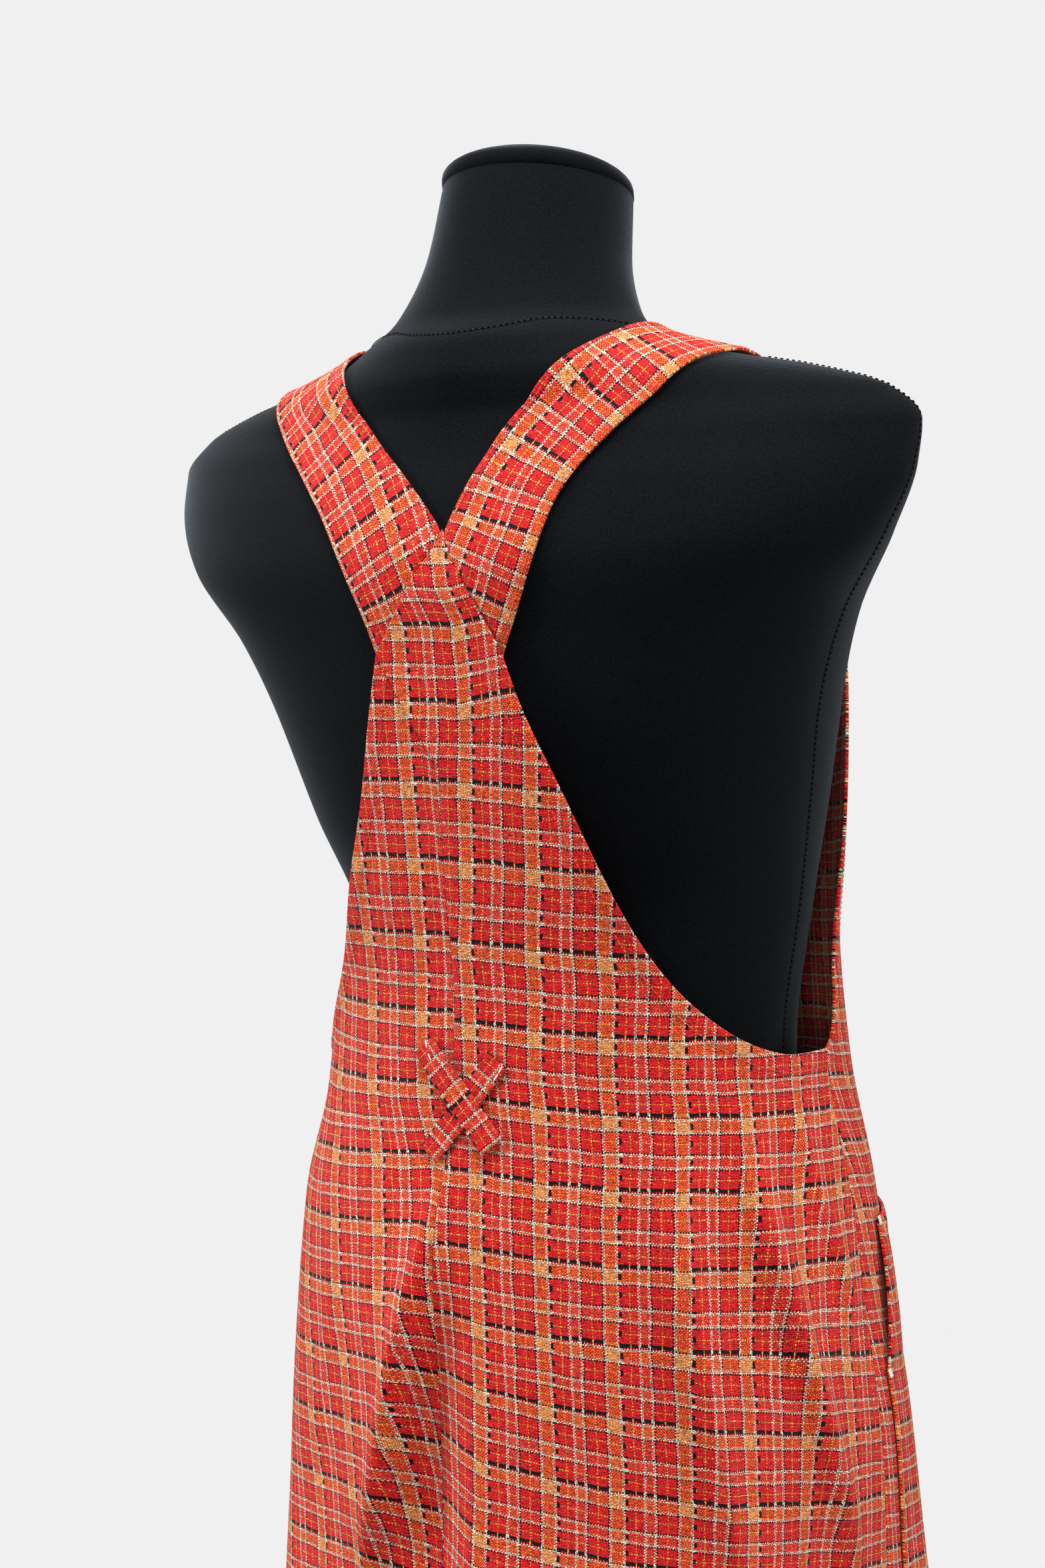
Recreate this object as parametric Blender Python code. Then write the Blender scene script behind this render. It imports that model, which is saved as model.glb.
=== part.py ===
"""Checked pinafore dress worn by a limbless dress form on a round stand.

The front faces -Y, the wearer's right side is -X, and the stand's round base rests on z = 0.
Every cloth piece is a wall laid out in cloth coordinates: s, the way round the figure from the
centre back (positive to the wearer's right), and z, the height. The drape turns them into places.
"""
import math

import bmesh
import bpy
import numpy as np

SEAM_GAP = 0.0003          # between pieces that are sewn or rest together
CLOTH = 0.0015             # thickness of the checked cotton
STRAP_CLOTH = 0.0024       # the straps are folded double
STRAP_LIFT = 0.0016        # a strap's inner face above the form
TAB_CLOTH = 0.0016

HEM_Z = 0.470
BIB_TOP_Z = 1.275
FORM_BOTTOM_Z = 0.700
NECK_TOP_Z = 1.506
NECK_FOOT_Z = 1.430          # the neck's rings begin to tilt forward here
NECK_TILT = math.tan(math.radians(14))
CAP_RIM = 0.004
CAP_RISE = 0.019
CAP_OVERHANG = 0.0010
CAP_TURNS = (20, 40, 58, 74)  # degrees up the dome of the cap's rings
BOSS_TOP_Z = 0.042
POLE_RADIUS = 0.0125
FLANGE_RADIUS = 0.055
FLANGE_HEIGHT = 0.008
FLANGE_COLLAR = 0.004

# How finely the pieces are divided.
ARC_STEPS = 72               # half a section of the dress, when lengths on the cloth are measured
FRONT_COLUMNS = 28
FRONT_SEAM_STEPS = 17
BACK_SEAM_STEPS = 19
WEDGE_STEPS = 4
ARMHOLE_STEPS = 13
STRAP_STEPS = 46
STRAP_ACROSS = 4
TAB_STEPS = 10
FORM_STEPS = 34
BASE_STEPS = 48
POLE_STEPS = 24

# The form's rings: from z, to z, how many.
TORSO_RINGS = [
    (FORM_BOTTOM_Z, 1.310, 16),
    (1.325, NECK_FOOT_Z, 16),
    (1.440, NECK_TOP_Z, 6),
]

# The stand's round base, from its underside to the top of the boss: radius and z.
BASE_PROFILE = [
    (0.163, 0.000),
    (0.165, 0.002),
    (0.165, 0.006),
    (0.159, 0.009),
    (0.045, 0.016),
    (0.024, 0.022),
    (0.020, BOSS_TOP_Z - 0.002),
    (0.018, BOSS_TOP_Z),
]

# Sections of the form: z, half width, middle y, depth to the back, depth to the front, roundness.
FORM = [
    (0.700, 0.150, 0.000, 0.098, 0.090, 2.2),
    (0.730, 0.163, 0.000, 0.114, 0.100, 2.2),
    (0.820, 0.168, 0.000, 0.122, 0.108, 2.2),
    (0.920, 0.148, -0.010, 0.105, 0.100, 2.2),
    (1.020, 0.120, -0.020, 0.090, 0.090, 2.1),
    (1.110, 0.135, -0.020, 0.097, 0.098, 2.1),
    (1.170, 0.150, -0.010, 0.107, 0.114, 2.2),
    (1.225, 0.163, -0.001, 0.114, 0.130, 2.2),
    (1.270, 0.182, 0.007, 0.111, 0.116, 2.2),
    (1.310, 0.210, 0.014, 0.108, 0.098, 2.1),
    (1.345, 0.226, 0.009, 0.102, 0.080, 1.9),
    (1.368, 0.229, 0.005, 0.095, 0.070, 1.7),
    (1.385, 0.213, 0.007, 0.088, 0.062, 1.5),
    (1.397, 0.179, 0.014, 0.083, 0.056, 1.45),
    (1.409, 0.129, 0.021, 0.077, 0.056, 1.5),
    (1.422, 0.091, 0.023, 0.069, 0.056, 1.7),
    (1.440, 0.070, 0.010, 0.060, 0.054, 1.9),
    (1.470, 0.057, -0.007, 0.055, 0.052, 2.0),
    (1.510, 0.052, -0.022, 0.052, 0.052, 2.0),
]

# Sections of the dress as it hangs: z, half width, shift to the wearer's left, middle y, back, front,
# roundness.
DRESS = [
    (0.470, 0.214, 0.000, 0.008, 0.194, 0.184, 2.0),
    (0.640, 0.188, 0.000, 0.006, 0.182, 0.168, 2.0),
    (0.720, 0.176, 0.000, 0.006, 0.175, 0.160, 2.1),
    (0.820, 0.174, 0.000, -0.001, 0.162, 0.155, 2.1),
    (0.900, 0.167, 0.000, -0.004, 0.154, 0.147, 2.1),
    (0.960, 0.160, 0.000, -0.008, 0.148, 0.140, 2.1),
    (1.020, 0.147, -0.003, -0.011, 0.137, 0.131, 2.1),
    (1.080, 0.142, -0.005, -0.012, 0.130, 0.127, 2.1),
    (1.150, 0.153, -0.002, -0.006, 0.125, 0.131, 2.2),
    (1.225, 0.170, 0.000, 0.002, 0.121, 0.138, 2.2),
    (1.270, 0.189, 0.000, 0.008, 0.116, 0.124, 2.2),
    (1.300, 0.208, 0.000, 0.013, 0.113, 0.108, 2.1),
    (1.340, 0.231, 0.000, 0.010, 0.106, 0.086, 1.9),
]

# Back armholes, from the Y corner down to the underarm: z, s on the right, s on the left.
BACK_ARMHOLE = [
    (1.264, 0.0410, 0.0335),
    (1.234, 0.050, 0.041),
    (1.194, 0.065, 0.052),
    (1.150, 0.080, 0.070),
    (1.110, 0.095, 0.090),
    (1.085, 0.110, 0.109),
    (1.062, 0.134, 0.132),
    (1.046, 0.161, 0.158),
    (1.038, 0.187, 0.184),
]
UNDERARM_Z = 1.035

# Front armholes, from just above the underarm to the bib's corner: z, distance from the centre front.
FRONT_ARMHOLE = [
    (1.041, 0.209),
    (1.054, 0.199),
    (1.078, 0.192),
    (1.110, 0.184),
    (1.160, 0.172),
    (1.200, 0.162),
    (1.240, 0.152),
    (BIB_TOP_Z, 0.143),
]

# The wedge where the straps meet has its notch here, as s and z.
V_NOTCH = (0.010, 1.326)

# The centre back seam, from the hem up to the foot of the wedge: s and z.
CENTRE_SEAM = [
    (-0.010, HEM_Z),
    (-0.009, 0.800),
    (-0.008, 1.100),
    (-0.001, 1.204),
]

# Folds of the skirt and back: s and z at the top, s and z at the bottom, width towards the left and
# towards the right, height.
FOLDS = [
    (-0.010, 1.000, -0.054, 0.785, 0.034, 0.012, 0.012),
    (-0.054, 0.820, -0.070, 0.470, 0.034, 0.014, 0.013),
    (-0.008, 0.970, -0.012, 0.470, 0.014, 0.014, -0.010),
    (0.012, 0.950, 0.034, 0.470, 0.014, 0.024, 0.009),
    (0.100, 1.060, 0.156, 0.770, 0.012, 0.018, 0.004),
    (0.136, 1.045, 0.232, 0.770, 0.014, 0.016, 0.004),
    (-0.130, 0.980, -0.140, 0.470, 0.024, 0.024, 0.004),
    (0.205, 0.880, 0.215, 0.470, 0.018, 0.018, -0.007),
    (0.150, 0.760, 0.152, 0.470, 0.026, 0.026, 0.007),
    (-0.305, 0.850, -0.320, 0.470, 0.034, 0.034, 0.022),
    (0.330, 0.860, 0.360, 0.470, 0.028, 0.028, 0.008),
    (0.410, 0.930, 0.455, 0.470, 0.024, 0.024, -0.007),
    (-0.430, 0.900, -0.480, 0.470, 0.026, 0.026, -0.006),
    (0.500, 0.900, 0.570, 0.470, 0.030, 0.030, 0.007),
    (-0.500, 0.880, -0.560, 0.470, 0.030, 0.030, 0.006),
]

# Straps, from the seam at the wedge over the shoulder to the bib. Angles are in degrees round a line
# across the shoulders at STRAP_AXIS_Z, from 0 at the back over 90 at the top. The first rows differ,
# because the notch lies a little to the wearer's right; STRAP_FRONT goes on for both.
# Columns: inner edge's angle and x, outer edge's angle and x, lift of the inner and outer edge.
STRAP_AXIS_Z = 1.330
STRAP_BACK = {
    "right": [
        (-2, 0.0125, -29, 0.043, 0.0000, 0.0026),
        (5, 0.018, -19, 0.054, 0.0000, 0.0014),
        (14, 0.026, -8, 0.064, 0.0000, 0.0004),
        (24, 0.035, 5, 0.073, 0.0000, 0.0000),
        (35, 0.049, 18, 0.087, 0.0000, 0.0000),
        (46, 0.066, 36, 0.108, 0.0000, 0.0000),
        (58, 0.079, 56, 0.127, 0.0000, 0.0000),
    ],
    "left": [
        (-2, -0.0080, -29, 0.035, 0.0000, 0.0026),
        (4, 0.002, -20, 0.042, 0.0000, 0.0014),
        (11, 0.015, -11, 0.051, 0.0000, 0.0004),
        (20, 0.032, 3, 0.070, 0.0000, 0.0000),
        (31, 0.050, 19, 0.095, 0.0000, 0.0000),
        (44, 0.069, 37, 0.118, 0.0000, 0.0000),
        (58, 0.081, 56, 0.133, 0.0000, 0.0000),
    ],
}
STRAP_FRONT = [
    (80, 0.087, 80, 0.139, 0.0000, 0.0000),
    (105, 0.089, 105, 0.140, 0.0000, 0.0000),
    (135, 0.086, 136, 0.136, 0.0000, 0.0000),
    (162, 0.080, 163, 0.130, 0.0008, 0.0008),
    (187, 0.076, 189, 0.125, 0.0022, 0.0022),
]
STRAP_FOOT_X = (0.074, 0.122)
STRAP_FOOT_LIFT = 0.0036

# The tab at the top of the skirt's pleat, as two crossing strips: s and z of each end.
TAB_WIDTH = 0.0145
TAB_SEAT = 0.0006            # the strips bridge the back's soft hollows
TAB_STRIPS = [
    ("tab_strip_under", (0.019, 1.050), (-0.018, 0.999), TAB_SEAT),
    ("tab_strip_over", (-0.025, 1.056), (0.020, 1.005), TAB_SEAT + TAB_CLOTH + SEAM_GAP),
]

# Hip pockets on the front. Corners by distance from the centre front and height, from the top of the
# mouth round by the bottom: the mouth runs from the second corner down to the third.
POCKET = [
    (0.078, 0.935),
    (0.214, 0.935),
    (0.244, 0.856),
    (0.246, 0.690),
    (0.082, 0.680),
]
POCKET_STAND_OFF = 0.003
POCKET_SEAT = 0.0017         # the pocket bridges the front's soft hollows

MATERIALS = {
    "checked_cotton": ((0.62, 0.07, 0.05), 0.85, 0.0),
    "form_jersey": ((0.012, 0.013, 0.016), 0.75, 0.0),
    "stand_metal": ((0.045, 0.045, 0.05), 0.40, 0.6),
}


def clear_scene():
    for thing in list(bpy.data.objects):
        bpy.data.objects.remove(thing, do_unlink=True)


def material(name):
    found = bpy.data.materials.get(name)
    if found:
        return found
    colour, roughness, metallic = MATERIALS[name]
    made = bpy.data.materials.new(name)
    made.use_nodes = True
    shader = made.node_tree.nodes["Principled BSDF"]
    shader.inputs["Base Color"].default_value = (*colour, 1.0)
    shader.inputs["Roughness"].default_value = roughness
    shader.inputs["Metallic"].default_value = metallic
    return made


def make_object(name, points, faces, material_name):
    mesh = bpy.data.meshes.new(name)
    mesh.from_pydata([tuple(map(float, p)) for p in points], [], faces)
    work = bmesh.new()
    work.from_mesh(mesh)
    bmesh.ops.triangulate(work, faces=[f for f in work.faces if len(f.verts) > 4])
    bmesh.ops.recalc_face_normals(work, faces=work.faces)
    work.to_mesh(mesh)
    work.free()
    mesh.shade_smooth()
    mesh.set_sharp_from_angle(angle=math.radians(40))
    thing = bpy.data.objects.new(name, mesh)
    bpy.context.scene.collection.objects.link(thing)
    thing.data.materials.append(material(material_name))
    return thing


def through_rows(table, at):
    """Smooth values at each place, through a table's rows, without overshoot."""
    rows = np.array(table, float)
    place, values = rows[:, 0], rows[:, 1:]
    step = np.diff(place)[:, None]
    slope = np.diff(values, axis=0) / step
    product = slope[:-1] * slope[1:]
    total = np.where(product > 0, slope[:-1] + slope[1:], 1.0)
    tangent = np.zeros_like(values)
    tangent[0], tangent[-1] = slope[0], slope[-1]
    tangent[1:-1] = np.where(product > 0, 2 * product / total, 0.0)
    at = np.clip(np.asarray(at, float), place[0], place[-1])
    i = np.clip(np.searchsorted(place, at, side="right") - 1, 0, len(place) - 2)
    h = step[i]
    t = ((at - place[i]) / h[..., 0])[..., None]
    left = values[i] * (1 + 2 * t) * (1 - t) ** 2 + tangent[i] * h * t * (1 - t) ** 2
    right = values[i + 1] * t * t * (3 - 2 * t) + tangent[i + 1] * h * t * t * (t - 1)
    return left + right


def section(row, angle):
    """A section's x and y. Angle 0 is the centre back and grows to the wearer's right."""
    half, middle, back, front, power = np.moveaxis(np.asarray(row), -1, 0)
    sine, cosine = np.sin(angle), np.cos(angle)
    x = -half * np.sign(sine) * np.abs(sine) ** (2 / power)
    depth = np.where(cosine > 0, back, front)
    y = middle + depth * np.sign(cosine) * np.abs(cosine) ** (2 / power)
    return x, y


def half_sections(z):
    """The right half of the dress's sections as points from back to front, with arc lengths."""
    angle = np.linspace(0, math.pi, ARC_STEPS + 1)
    rows = through_rows(DRESS, z)[..., None, :]
    x, y = section(rows[..., [0, 2, 3, 4, 5]], angle)
    arc = np.zeros_like(x)
    arc[..., 1:] = np.cumsum(np.hypot(np.diff(x, axis=-1), np.diff(y, axis=-1)), axis=-1)
    return x, y, arc, rows[..., 0, 1]


def side_arc(z):
    """Arc length from the centre back to the side seam."""
    return half_sections(np.atleast_1d(float(z)))[2][0, ARC_STEPS // 2]


def half_girth(z):
    return half_sections(np.atleast_1d(float(z)))[2][0, -1]


def ease_in(t):
    t = np.clip(t, 0, 1)
    return t * t * (3 - 2 * t)


def fold_height(s, z):
    height = np.zeros_like(s)
    for s_top, z_top, s_low, z_low, left, right, rise in FOLDS:
        t = (z_top - z) / (z_top - z_low)
        line = s_top + (s_low - s_top) * np.clip(t, 0, 1)
        fade = ease_in(2.2 * t)
        if z_low > HEM_Z:
            fade = fade * ease_in(3.0 * (1.15 - t))
        width = np.where(s < line, left, right)
        height += rise * fade * np.exp(-((s - line) / width) ** 2)
    return height


def hang(s, z):
    """Places on the smooth drape, without folds."""
    x, y, arc, shift = half_sections(z)
    way = np.minimum(np.abs(s), arc[:, -1])
    i = np.clip((arc < way[:, None]).sum(axis=1) - 1, 0, ARC_STEPS - 1)
    pick = np.arange(len(s))
    t = (way - arc[pick, i]) / (arc[pick, i + 1] - arc[pick, i])
    px = x[pick, i] + t * (x[pick, i + 1] - x[pick, i])
    py = y[pick, i] + t * (y[pick, i + 1] - y[pick, i])
    return np.stack([np.where(s < 0, -px, px) + shift, py, z], axis=-1)


def drape(s, z, lift):
    """Places of the cloth's points at a lift off its inner face, folds included."""
    s, z = np.asarray(s, float), np.asarray(z, float)
    small = 0.004
    across = hang(s + small, z) - hang(s - small, z)
    along = hang(s, z + small) - hang(s, z - small)
    normal = np.cross(across, along)
    normal /= np.linalg.norm(normal, axis=1, keepdims=True)
    return hang(s, z) + normal * (lift + fold_height(s, z))[:, None]


def resample(points, count, bias=1.0):
    """Count steps along a smooth line through the points, closer together at its start with bias > 1."""
    points = np.array(points, float)
    way = np.concatenate([[0], np.cumsum(np.linalg.norm(np.diff(points, axis=0), axis=1))])
    share = np.linspace(0, 1, count + 1) ** bias
    return through_rows(np.column_stack([way, points]), way[-1] * share)


def join(*lines):
    return np.vstack([lines[0]] + [line[1:] for line in lines[1:]])


def blend(left, right, bottom, top):
    """A grid between four border lines (a Coons patch). Rows go up, columns go from left to right."""
    v = np.linspace(0, 1, len(left))[:, None, None]
    u = np.linspace(0, 1, len(bottom))[None, :, None]
    across = (1 - u) * left[:, None] + u * right[:, None]
    upward = (1 - v) * bottom[None] + v * top[None]
    corners = ((1 - u) * (1 - v) * bottom[0] + u * (1 - v) * bottom[-1]
               + (1 - u) * v * top[0] + u * v * top[-1])
    return across + upward - corners


def wall(name, inner, outer, material_name):
    """A closed wall between two grids of points of the same size."""
    rows, columns = inner.shape[:2]
    points = np.concatenate([inner.reshape(-1, 3), outer.reshape(-1, 3)])
    half = rows * columns

    def at(r, c, layer):
        return layer * half + r * columns + c

    faces = []
    for r in range(rows - 1):
        for c in range(columns - 1):
            corners = [(r, c), (r, c + 1), (r + 1, c + 1), (r + 1, c)]
            faces.append([at(*k, 1) for k in corners])
            faces.append([at(*k, 0) for k in reversed(corners)])
    border = [(0, c) for c in range(columns)] + [(r, columns - 1) for r in range(1, rows)]
    border += [(rows - 1, c) for c in range(columns - 2, -1, -1)] + [(r, 0) for r in range(rows - 2, 0, -1)]
    for here, there in zip(border, border[1:] + border[:1]):
        faces.append([at(*here, 0), at(*there, 0), at(*there, 1), at(*here, 1)])
    return make_object(name, points, faces, material_name)


def cloth_wall(name, grid, lift=0.0, thickness=CLOTH):
    """A wall of checked cloth on the drape, from a grid of s and z. Lift is a number or a grid."""
    flat = grid.reshape(-1, 2)
    lift = np.broadcast_to(lift, grid.shape[:2]).reshape(-1)
    inner = drape(flat[:, 0], flat[:, 1], lift).reshape(*grid.shape[:2], 3)
    outer = drape(flat[:, 0], flat[:, 1], lift + thickness).reshape(*grid.shape[:2], 3)
    return wall(name, inner, outer, "checked_cotton")


def side_seam(count, sign, inset):
    """The side seam from the hem to the underarm, as s and z."""
    z = np.linspace(HEM_Z, UNDERARM_Z, count + 1)
    return np.array([(sign * (side_arc(h) + inset), h) for h in z])


def make_back(name, sign):
    """One half of the back. The right half reaches up into the wedge between the straps."""
    gap = SEAM_GAP / 2
    column = 1 if sign > 0 else 2
    foot = np.array(CENTRE_SEAM[-1])
    left_corner = np.array([-BACK_ARMHOLE[0][2], BACK_ARMHOLE[0][0]])
    away = np.array([left_corner[1] - foot[1], foot[0] - left_corner[0]])
    away *= sign * gap / np.linalg.norm(away)
    underarm = (sign * (side_arc(UNDERARM_Z) - gap), UNDERARM_Z)
    armhole = resample([(sign * row[column], row[0]) for row in BACK_ARMHOLE] + [underarm], ARMHOLE_STEPS)
    straight = resample([(s + sign * gap, z) for s, z in CENTRE_SEAM], BACK_SEAM_STEPS)
    diagonal = resample([foot + away, left_corner + away], WEDGE_STEPS)
    if sign > 0:
        centre = np.vstack([straight[:-1], diagonal, resample([diagonal[-1], V_NOTCH], WEDGE_STEPS)[1:]])
        top = join(resample([V_NOTCH, armhole[0]], WEDGE_STEPS), armhole)
    else:
        centre = np.vstack([straight[:-1], diagonal])
        top = np.vstack([diagonal[-1], armhole[1:]])
    side = side_seam(len(centre) - 1, sign, -gap)
    bottom = resample([centre[0], side[0]], len(top) - 1, 1.3)
    return cloth_wall(name, blend(centre, side, bottom, top))


def from_front(sign, distance, z):
    """s of a place given by its distance from the centre front."""
    return sign * (half_girth(z) - distance)


def make_front():
    """The front, one piece from side seam to side seam, with the bib above."""
    gap = SEAM_GAP / 2
    borders = []
    for sign in (1, -1):
        heights = np.linspace(HEM_Z, UNDERARM_Z, FRONT_SEAM_STEPS)
        seam = [(half_girth(h) - side_arc(h) - gap, h) for h in heights]
        rise = resample([seam[-1]] + [(d, z) for z, d in FRONT_ARMHOLE], ARMHOLE_STEPS)
        borders.append(join(np.array(seam), rise) * (sign, 1))
    right, left = borders
    bottom = resample([right[0], left[0]], FRONT_COLUMNS)
    top = resample([right[-1], left[-1]], FRONT_COLUMNS)
    grid = blend(right, left, bottom, top)
    flat = grid.reshape(-1, 2)
    s = np.array([from_front(1 if d >= 0 else -1, abs(d), z) for d, z in flat])
    grid = np.column_stack([s, flat[:, 1]]).reshape(grid.shape)
    return cloth_wall("front", grid)


def on_form(x, angle):
    """Places on the form where rays leave the line across the shoulders at the given angles."""
    x, angle = np.asarray(x, float), np.asarray(angle, float)
    near, far = np.zeros_like(x), np.full_like(x, 0.3)
    for _ in range(40):
        middle = (near + far) / 2
        y = middle * np.cos(angle)
        z = STRAP_AXIS_Z + middle * np.sin(angle)
        half, centre, back, front, power = np.moveaxis(through_rows(FORM, z), -1, 0)
        depth = np.where(y > centre, back, front)
        inside = np.abs(x / half) ** power + np.abs((y - centre) / depth) ** power < 1
        near = np.where(inside, middle, near)
        far = np.where(inside, far, middle)
    return np.stack([x, near * np.cos(angle), STRAP_AXIS_Z + near * np.sin(angle)], axis=-1)


def front_angle(x, z):
    """The angle of the place on the form's front at a given x and height, in degrees."""
    half, middle, _, front, power = through_rows(FORM, z)
    y = middle - front * (1 - (x / half) ** power) ** (1 / power)
    return math.degrees(math.atan2(z - STRAP_AXIS_Z, y)) % 360


def make_strap(name, sign):
    """A strap from the wedge over the shoulder down to the bib, folded double."""
    inner_x, outer_x = STRAP_FOOT_X
    foot_z = BIB_TOP_Z + SEAM_GAP
    foot = (front_angle(inner_x, foot_z), inner_x, front_angle(outer_x, foot_z), outer_x)
    table = STRAP_BACK[name.split("_")[1]] + STRAP_FRONT + [(*foot, STRAP_FOOT_LIFT, STRAP_FOOT_LIFT)]
    place = np.linspace(0, len(table) - 1, STRAP_STEPS + 1)
    rows = through_rows([(i, *row) for i, row in enumerate(table)], place)
    share = np.linspace(0, 1, STRAP_ACROSS + 1)[None, :]
    angle = np.radians(rows[:, 0:1] * (1 - share) + rows[:, 2:3] * share)
    x = -sign * (rows[:, 1:2] * (1 - share) + rows[:, 3:4] * share)
    lift = STRAP_LIFT + rows[:, 4:5] * (1 - share) + rows[:, 5:6] * share
    small = 0.01
    along = on_form(x, angle + small) - on_form(x, angle - small)
    over = on_form(x + small / 4, angle) - on_form(x - small / 4, angle)
    normal = np.cross(along, over)
    normal /= np.linalg.norm(normal, axis=-1, keepdims=True)
    seat = on_form(x, angle)
    inner = seat + normal * lift[..., None]
    outer = seat + normal * (lift + STRAP_CLOTH)[..., None]
    return wall(name, inner, outer, "checked_cotton")


def make_tab_strip(name, start, end, lift):
    """One short strip of the crossed tab, laid on the back."""
    start, end = np.array(start), np.array(end)
    along = (end - start) / np.linalg.norm(end - start)
    sideways = np.array([-along[1], along[0]]) * TAB_WIDTH / 2
    length = np.linspace(0, 1, TAB_STEPS + 1)[:, None, None]
    width = np.linspace(-1, 1, 3)[None, :, None]
    grid = start + (end - start) * length + sideways * width
    return cloth_wall(name, grid, CLOTH + SEAM_GAP + lift, TAB_CLOTH)


def make_pocket(name, sign):
    """A hip pocket with a slanting mouth, which stands off the front along the mouth."""
    top_front, mouth_top, mouth_foot, bottom_side, bottom_front = [np.array(p) for p in POCKET]
    side = join(resample([bottom_side, mouth_foot], 4), resample([mouth_foot, mouth_top], 6))
    front = resample([bottom_front, top_front], 10)
    bottom = resample([bottom_front, bottom_side], 8)
    top = resample([top_front, mouth_top], 8)
    grid = blend(front, side, bottom, top)
    rows, columns = grid.shape[:2]
    up = np.linspace(0, 1, rows)[:, None]
    outward = np.linspace(0, 1, columns)[None, :]
    bulge = ease_in(1.4 * outward - 0.4) * np.sin(math.pi * np.clip(up * 1.08, 0, 1)) ** 0.8
    lift = CLOTH + SEAM_GAP + POCKET_SEAT + POCKET_STAND_OFF * bulge
    flat = grid.reshape(-1, 2)
    s = np.array([from_front(sign, d, z) for d, z in flat])
    grid = np.column_stack([s, flat[:, 1]]).reshape(grid.shape)
    return cloth_wall(name, grid, lift)


def stack_rings(name, rings, material_name):
    """A closed body from rings of points, bottom to top, with flat fans at both ends."""
    count = len(rings[0])
    points = np.concatenate(rings)
    faces = []
    for level in range(len(rings) - 1):
        for k in range(count):
            a, b = level * count + k, level * count + (k + 1) % count
            faces.append([a, b, b + count, a + count])
    faces.append(list(range(count)))
    faces.append([(len(rings) - 1) * count + k for k in range(count)])
    return make_object(name, points, faces, material_name)


def tilted_ring(row, z, tilt, scale=1.0):
    angle = np.linspace(0, 2 * math.pi, FORM_STEPS, endpoint=False)
    x, y = section(np.array(row)[None], angle)
    middle = row[1]
    x, y = x * scale, middle + (y - middle) * scale
    return np.column_stack([x, y, z + (y - middle) * tilt])


def make_form_torso():
    rings = []
    for z in np.concatenate([np.linspace(*stretch) for stretch in TORSO_RINGS]):
        tilt = NECK_TILT * float(ease_in((z - NECK_FOOT_Z) / (NECK_TOP_Z - NECK_FOOT_Z)))
        rings.append(tilted_ring(through_rows(FORM, z), z, tilt))
    return stack_rings("form_torso", rings, "form_jersey")


def make_neck_cap():
    """The cap that closes the neck, a low dome that laps a little over the neck's edge."""
    row = through_rows(FORM, NECK_TOP_Z)
    foot = NECK_TOP_Z + SEAM_GAP
    edge = 1 + CAP_OVERHANG / row[0]
    rings = [tilted_ring(row, foot, NECK_TILT, edge), tilted_ring(row, foot + CAP_RIM, NECK_TILT, edge)]
    for turn in np.radians(CAP_TURNS):
        height = foot + CAP_RIM + (CAP_RISE - CAP_RIM) * math.sin(turn)
        rings.append(tilted_ring(row, height, NECK_TILT, edge * math.cos(turn)))
    return stack_rings("form_neck_cap", rings, "form_jersey")


def turned(name, profile, steps, material_name):
    """A turned piece from a profile of radius and height, bottom to top, about the pole's line."""
    angle = np.linspace(0, 2 * math.pi, steps, endpoint=False)
    rings = [np.column_stack([r * np.cos(angle), r * np.sin(angle), np.full(steps, z)]) for r, z in profile]
    return stack_rings(name, rings, material_name)


def make_stand():
    turned("stand_base", BASE_PROFILE, BASE_STEPS, "stand_metal")
    top = FORM_BOTTOM_Z - SEAM_GAP
    flange_foot = top - FLANGE_HEIGHT
    pole = [
        (POLE_RADIUS, BOSS_TOP_Z + SEAM_GAP),
        (POLE_RADIUS, flange_foot - FLANGE_COLLAR),
        (POLE_RADIUS + FLANGE_COLLAR, flange_foot),
        (FLANGE_RADIUS, flange_foot),
        (FLANGE_RADIUS, top),
    ]
    turned("stand_pole", pole, POLE_STEPS, "stand_metal")


def main():
    clear_scene()
    make_form_torso()
    make_neck_cap()
    make_stand()
    make_back("back_right", 1)
    make_back("back_left", -1)
    make_front()
    make_strap("strap_right", 1)
    make_strap("strap_left", -1)
    for strip in TAB_STRIPS:
        make_tab_strip(*strip)
    make_pocket("pocket_right", 1)
    make_pocket("pocket_left", -1)


main()
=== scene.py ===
"""Finished looks of a checked pinafore dress and the limbless dress form that wears it.

The front faces -Y, the wearer's right side is -X and the stand rests on z = 0. Cloth is laid out in
cloth coordinates: s, the way round the figure from the centre back (positive to the wearer's right),
and z, the height. The drape turns them into places, and the weave turns them into warp and weft.
"""

import math

import bpy
import numpy as np
from mathutils import Matrix, Vector


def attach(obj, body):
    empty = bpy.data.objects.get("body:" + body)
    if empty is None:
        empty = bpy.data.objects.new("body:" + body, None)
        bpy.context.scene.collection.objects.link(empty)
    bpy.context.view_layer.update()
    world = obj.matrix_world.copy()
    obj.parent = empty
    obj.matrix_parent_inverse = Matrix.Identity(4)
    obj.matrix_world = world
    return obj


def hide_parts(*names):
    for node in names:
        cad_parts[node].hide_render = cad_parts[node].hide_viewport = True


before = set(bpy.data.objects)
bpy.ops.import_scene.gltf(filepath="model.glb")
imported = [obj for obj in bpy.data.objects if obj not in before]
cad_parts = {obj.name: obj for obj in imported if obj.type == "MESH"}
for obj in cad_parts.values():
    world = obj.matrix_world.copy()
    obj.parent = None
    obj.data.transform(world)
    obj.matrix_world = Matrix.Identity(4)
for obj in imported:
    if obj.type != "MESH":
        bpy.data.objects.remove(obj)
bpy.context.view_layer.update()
bpy.ops.object.select_all(action="DESELECT")

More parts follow.
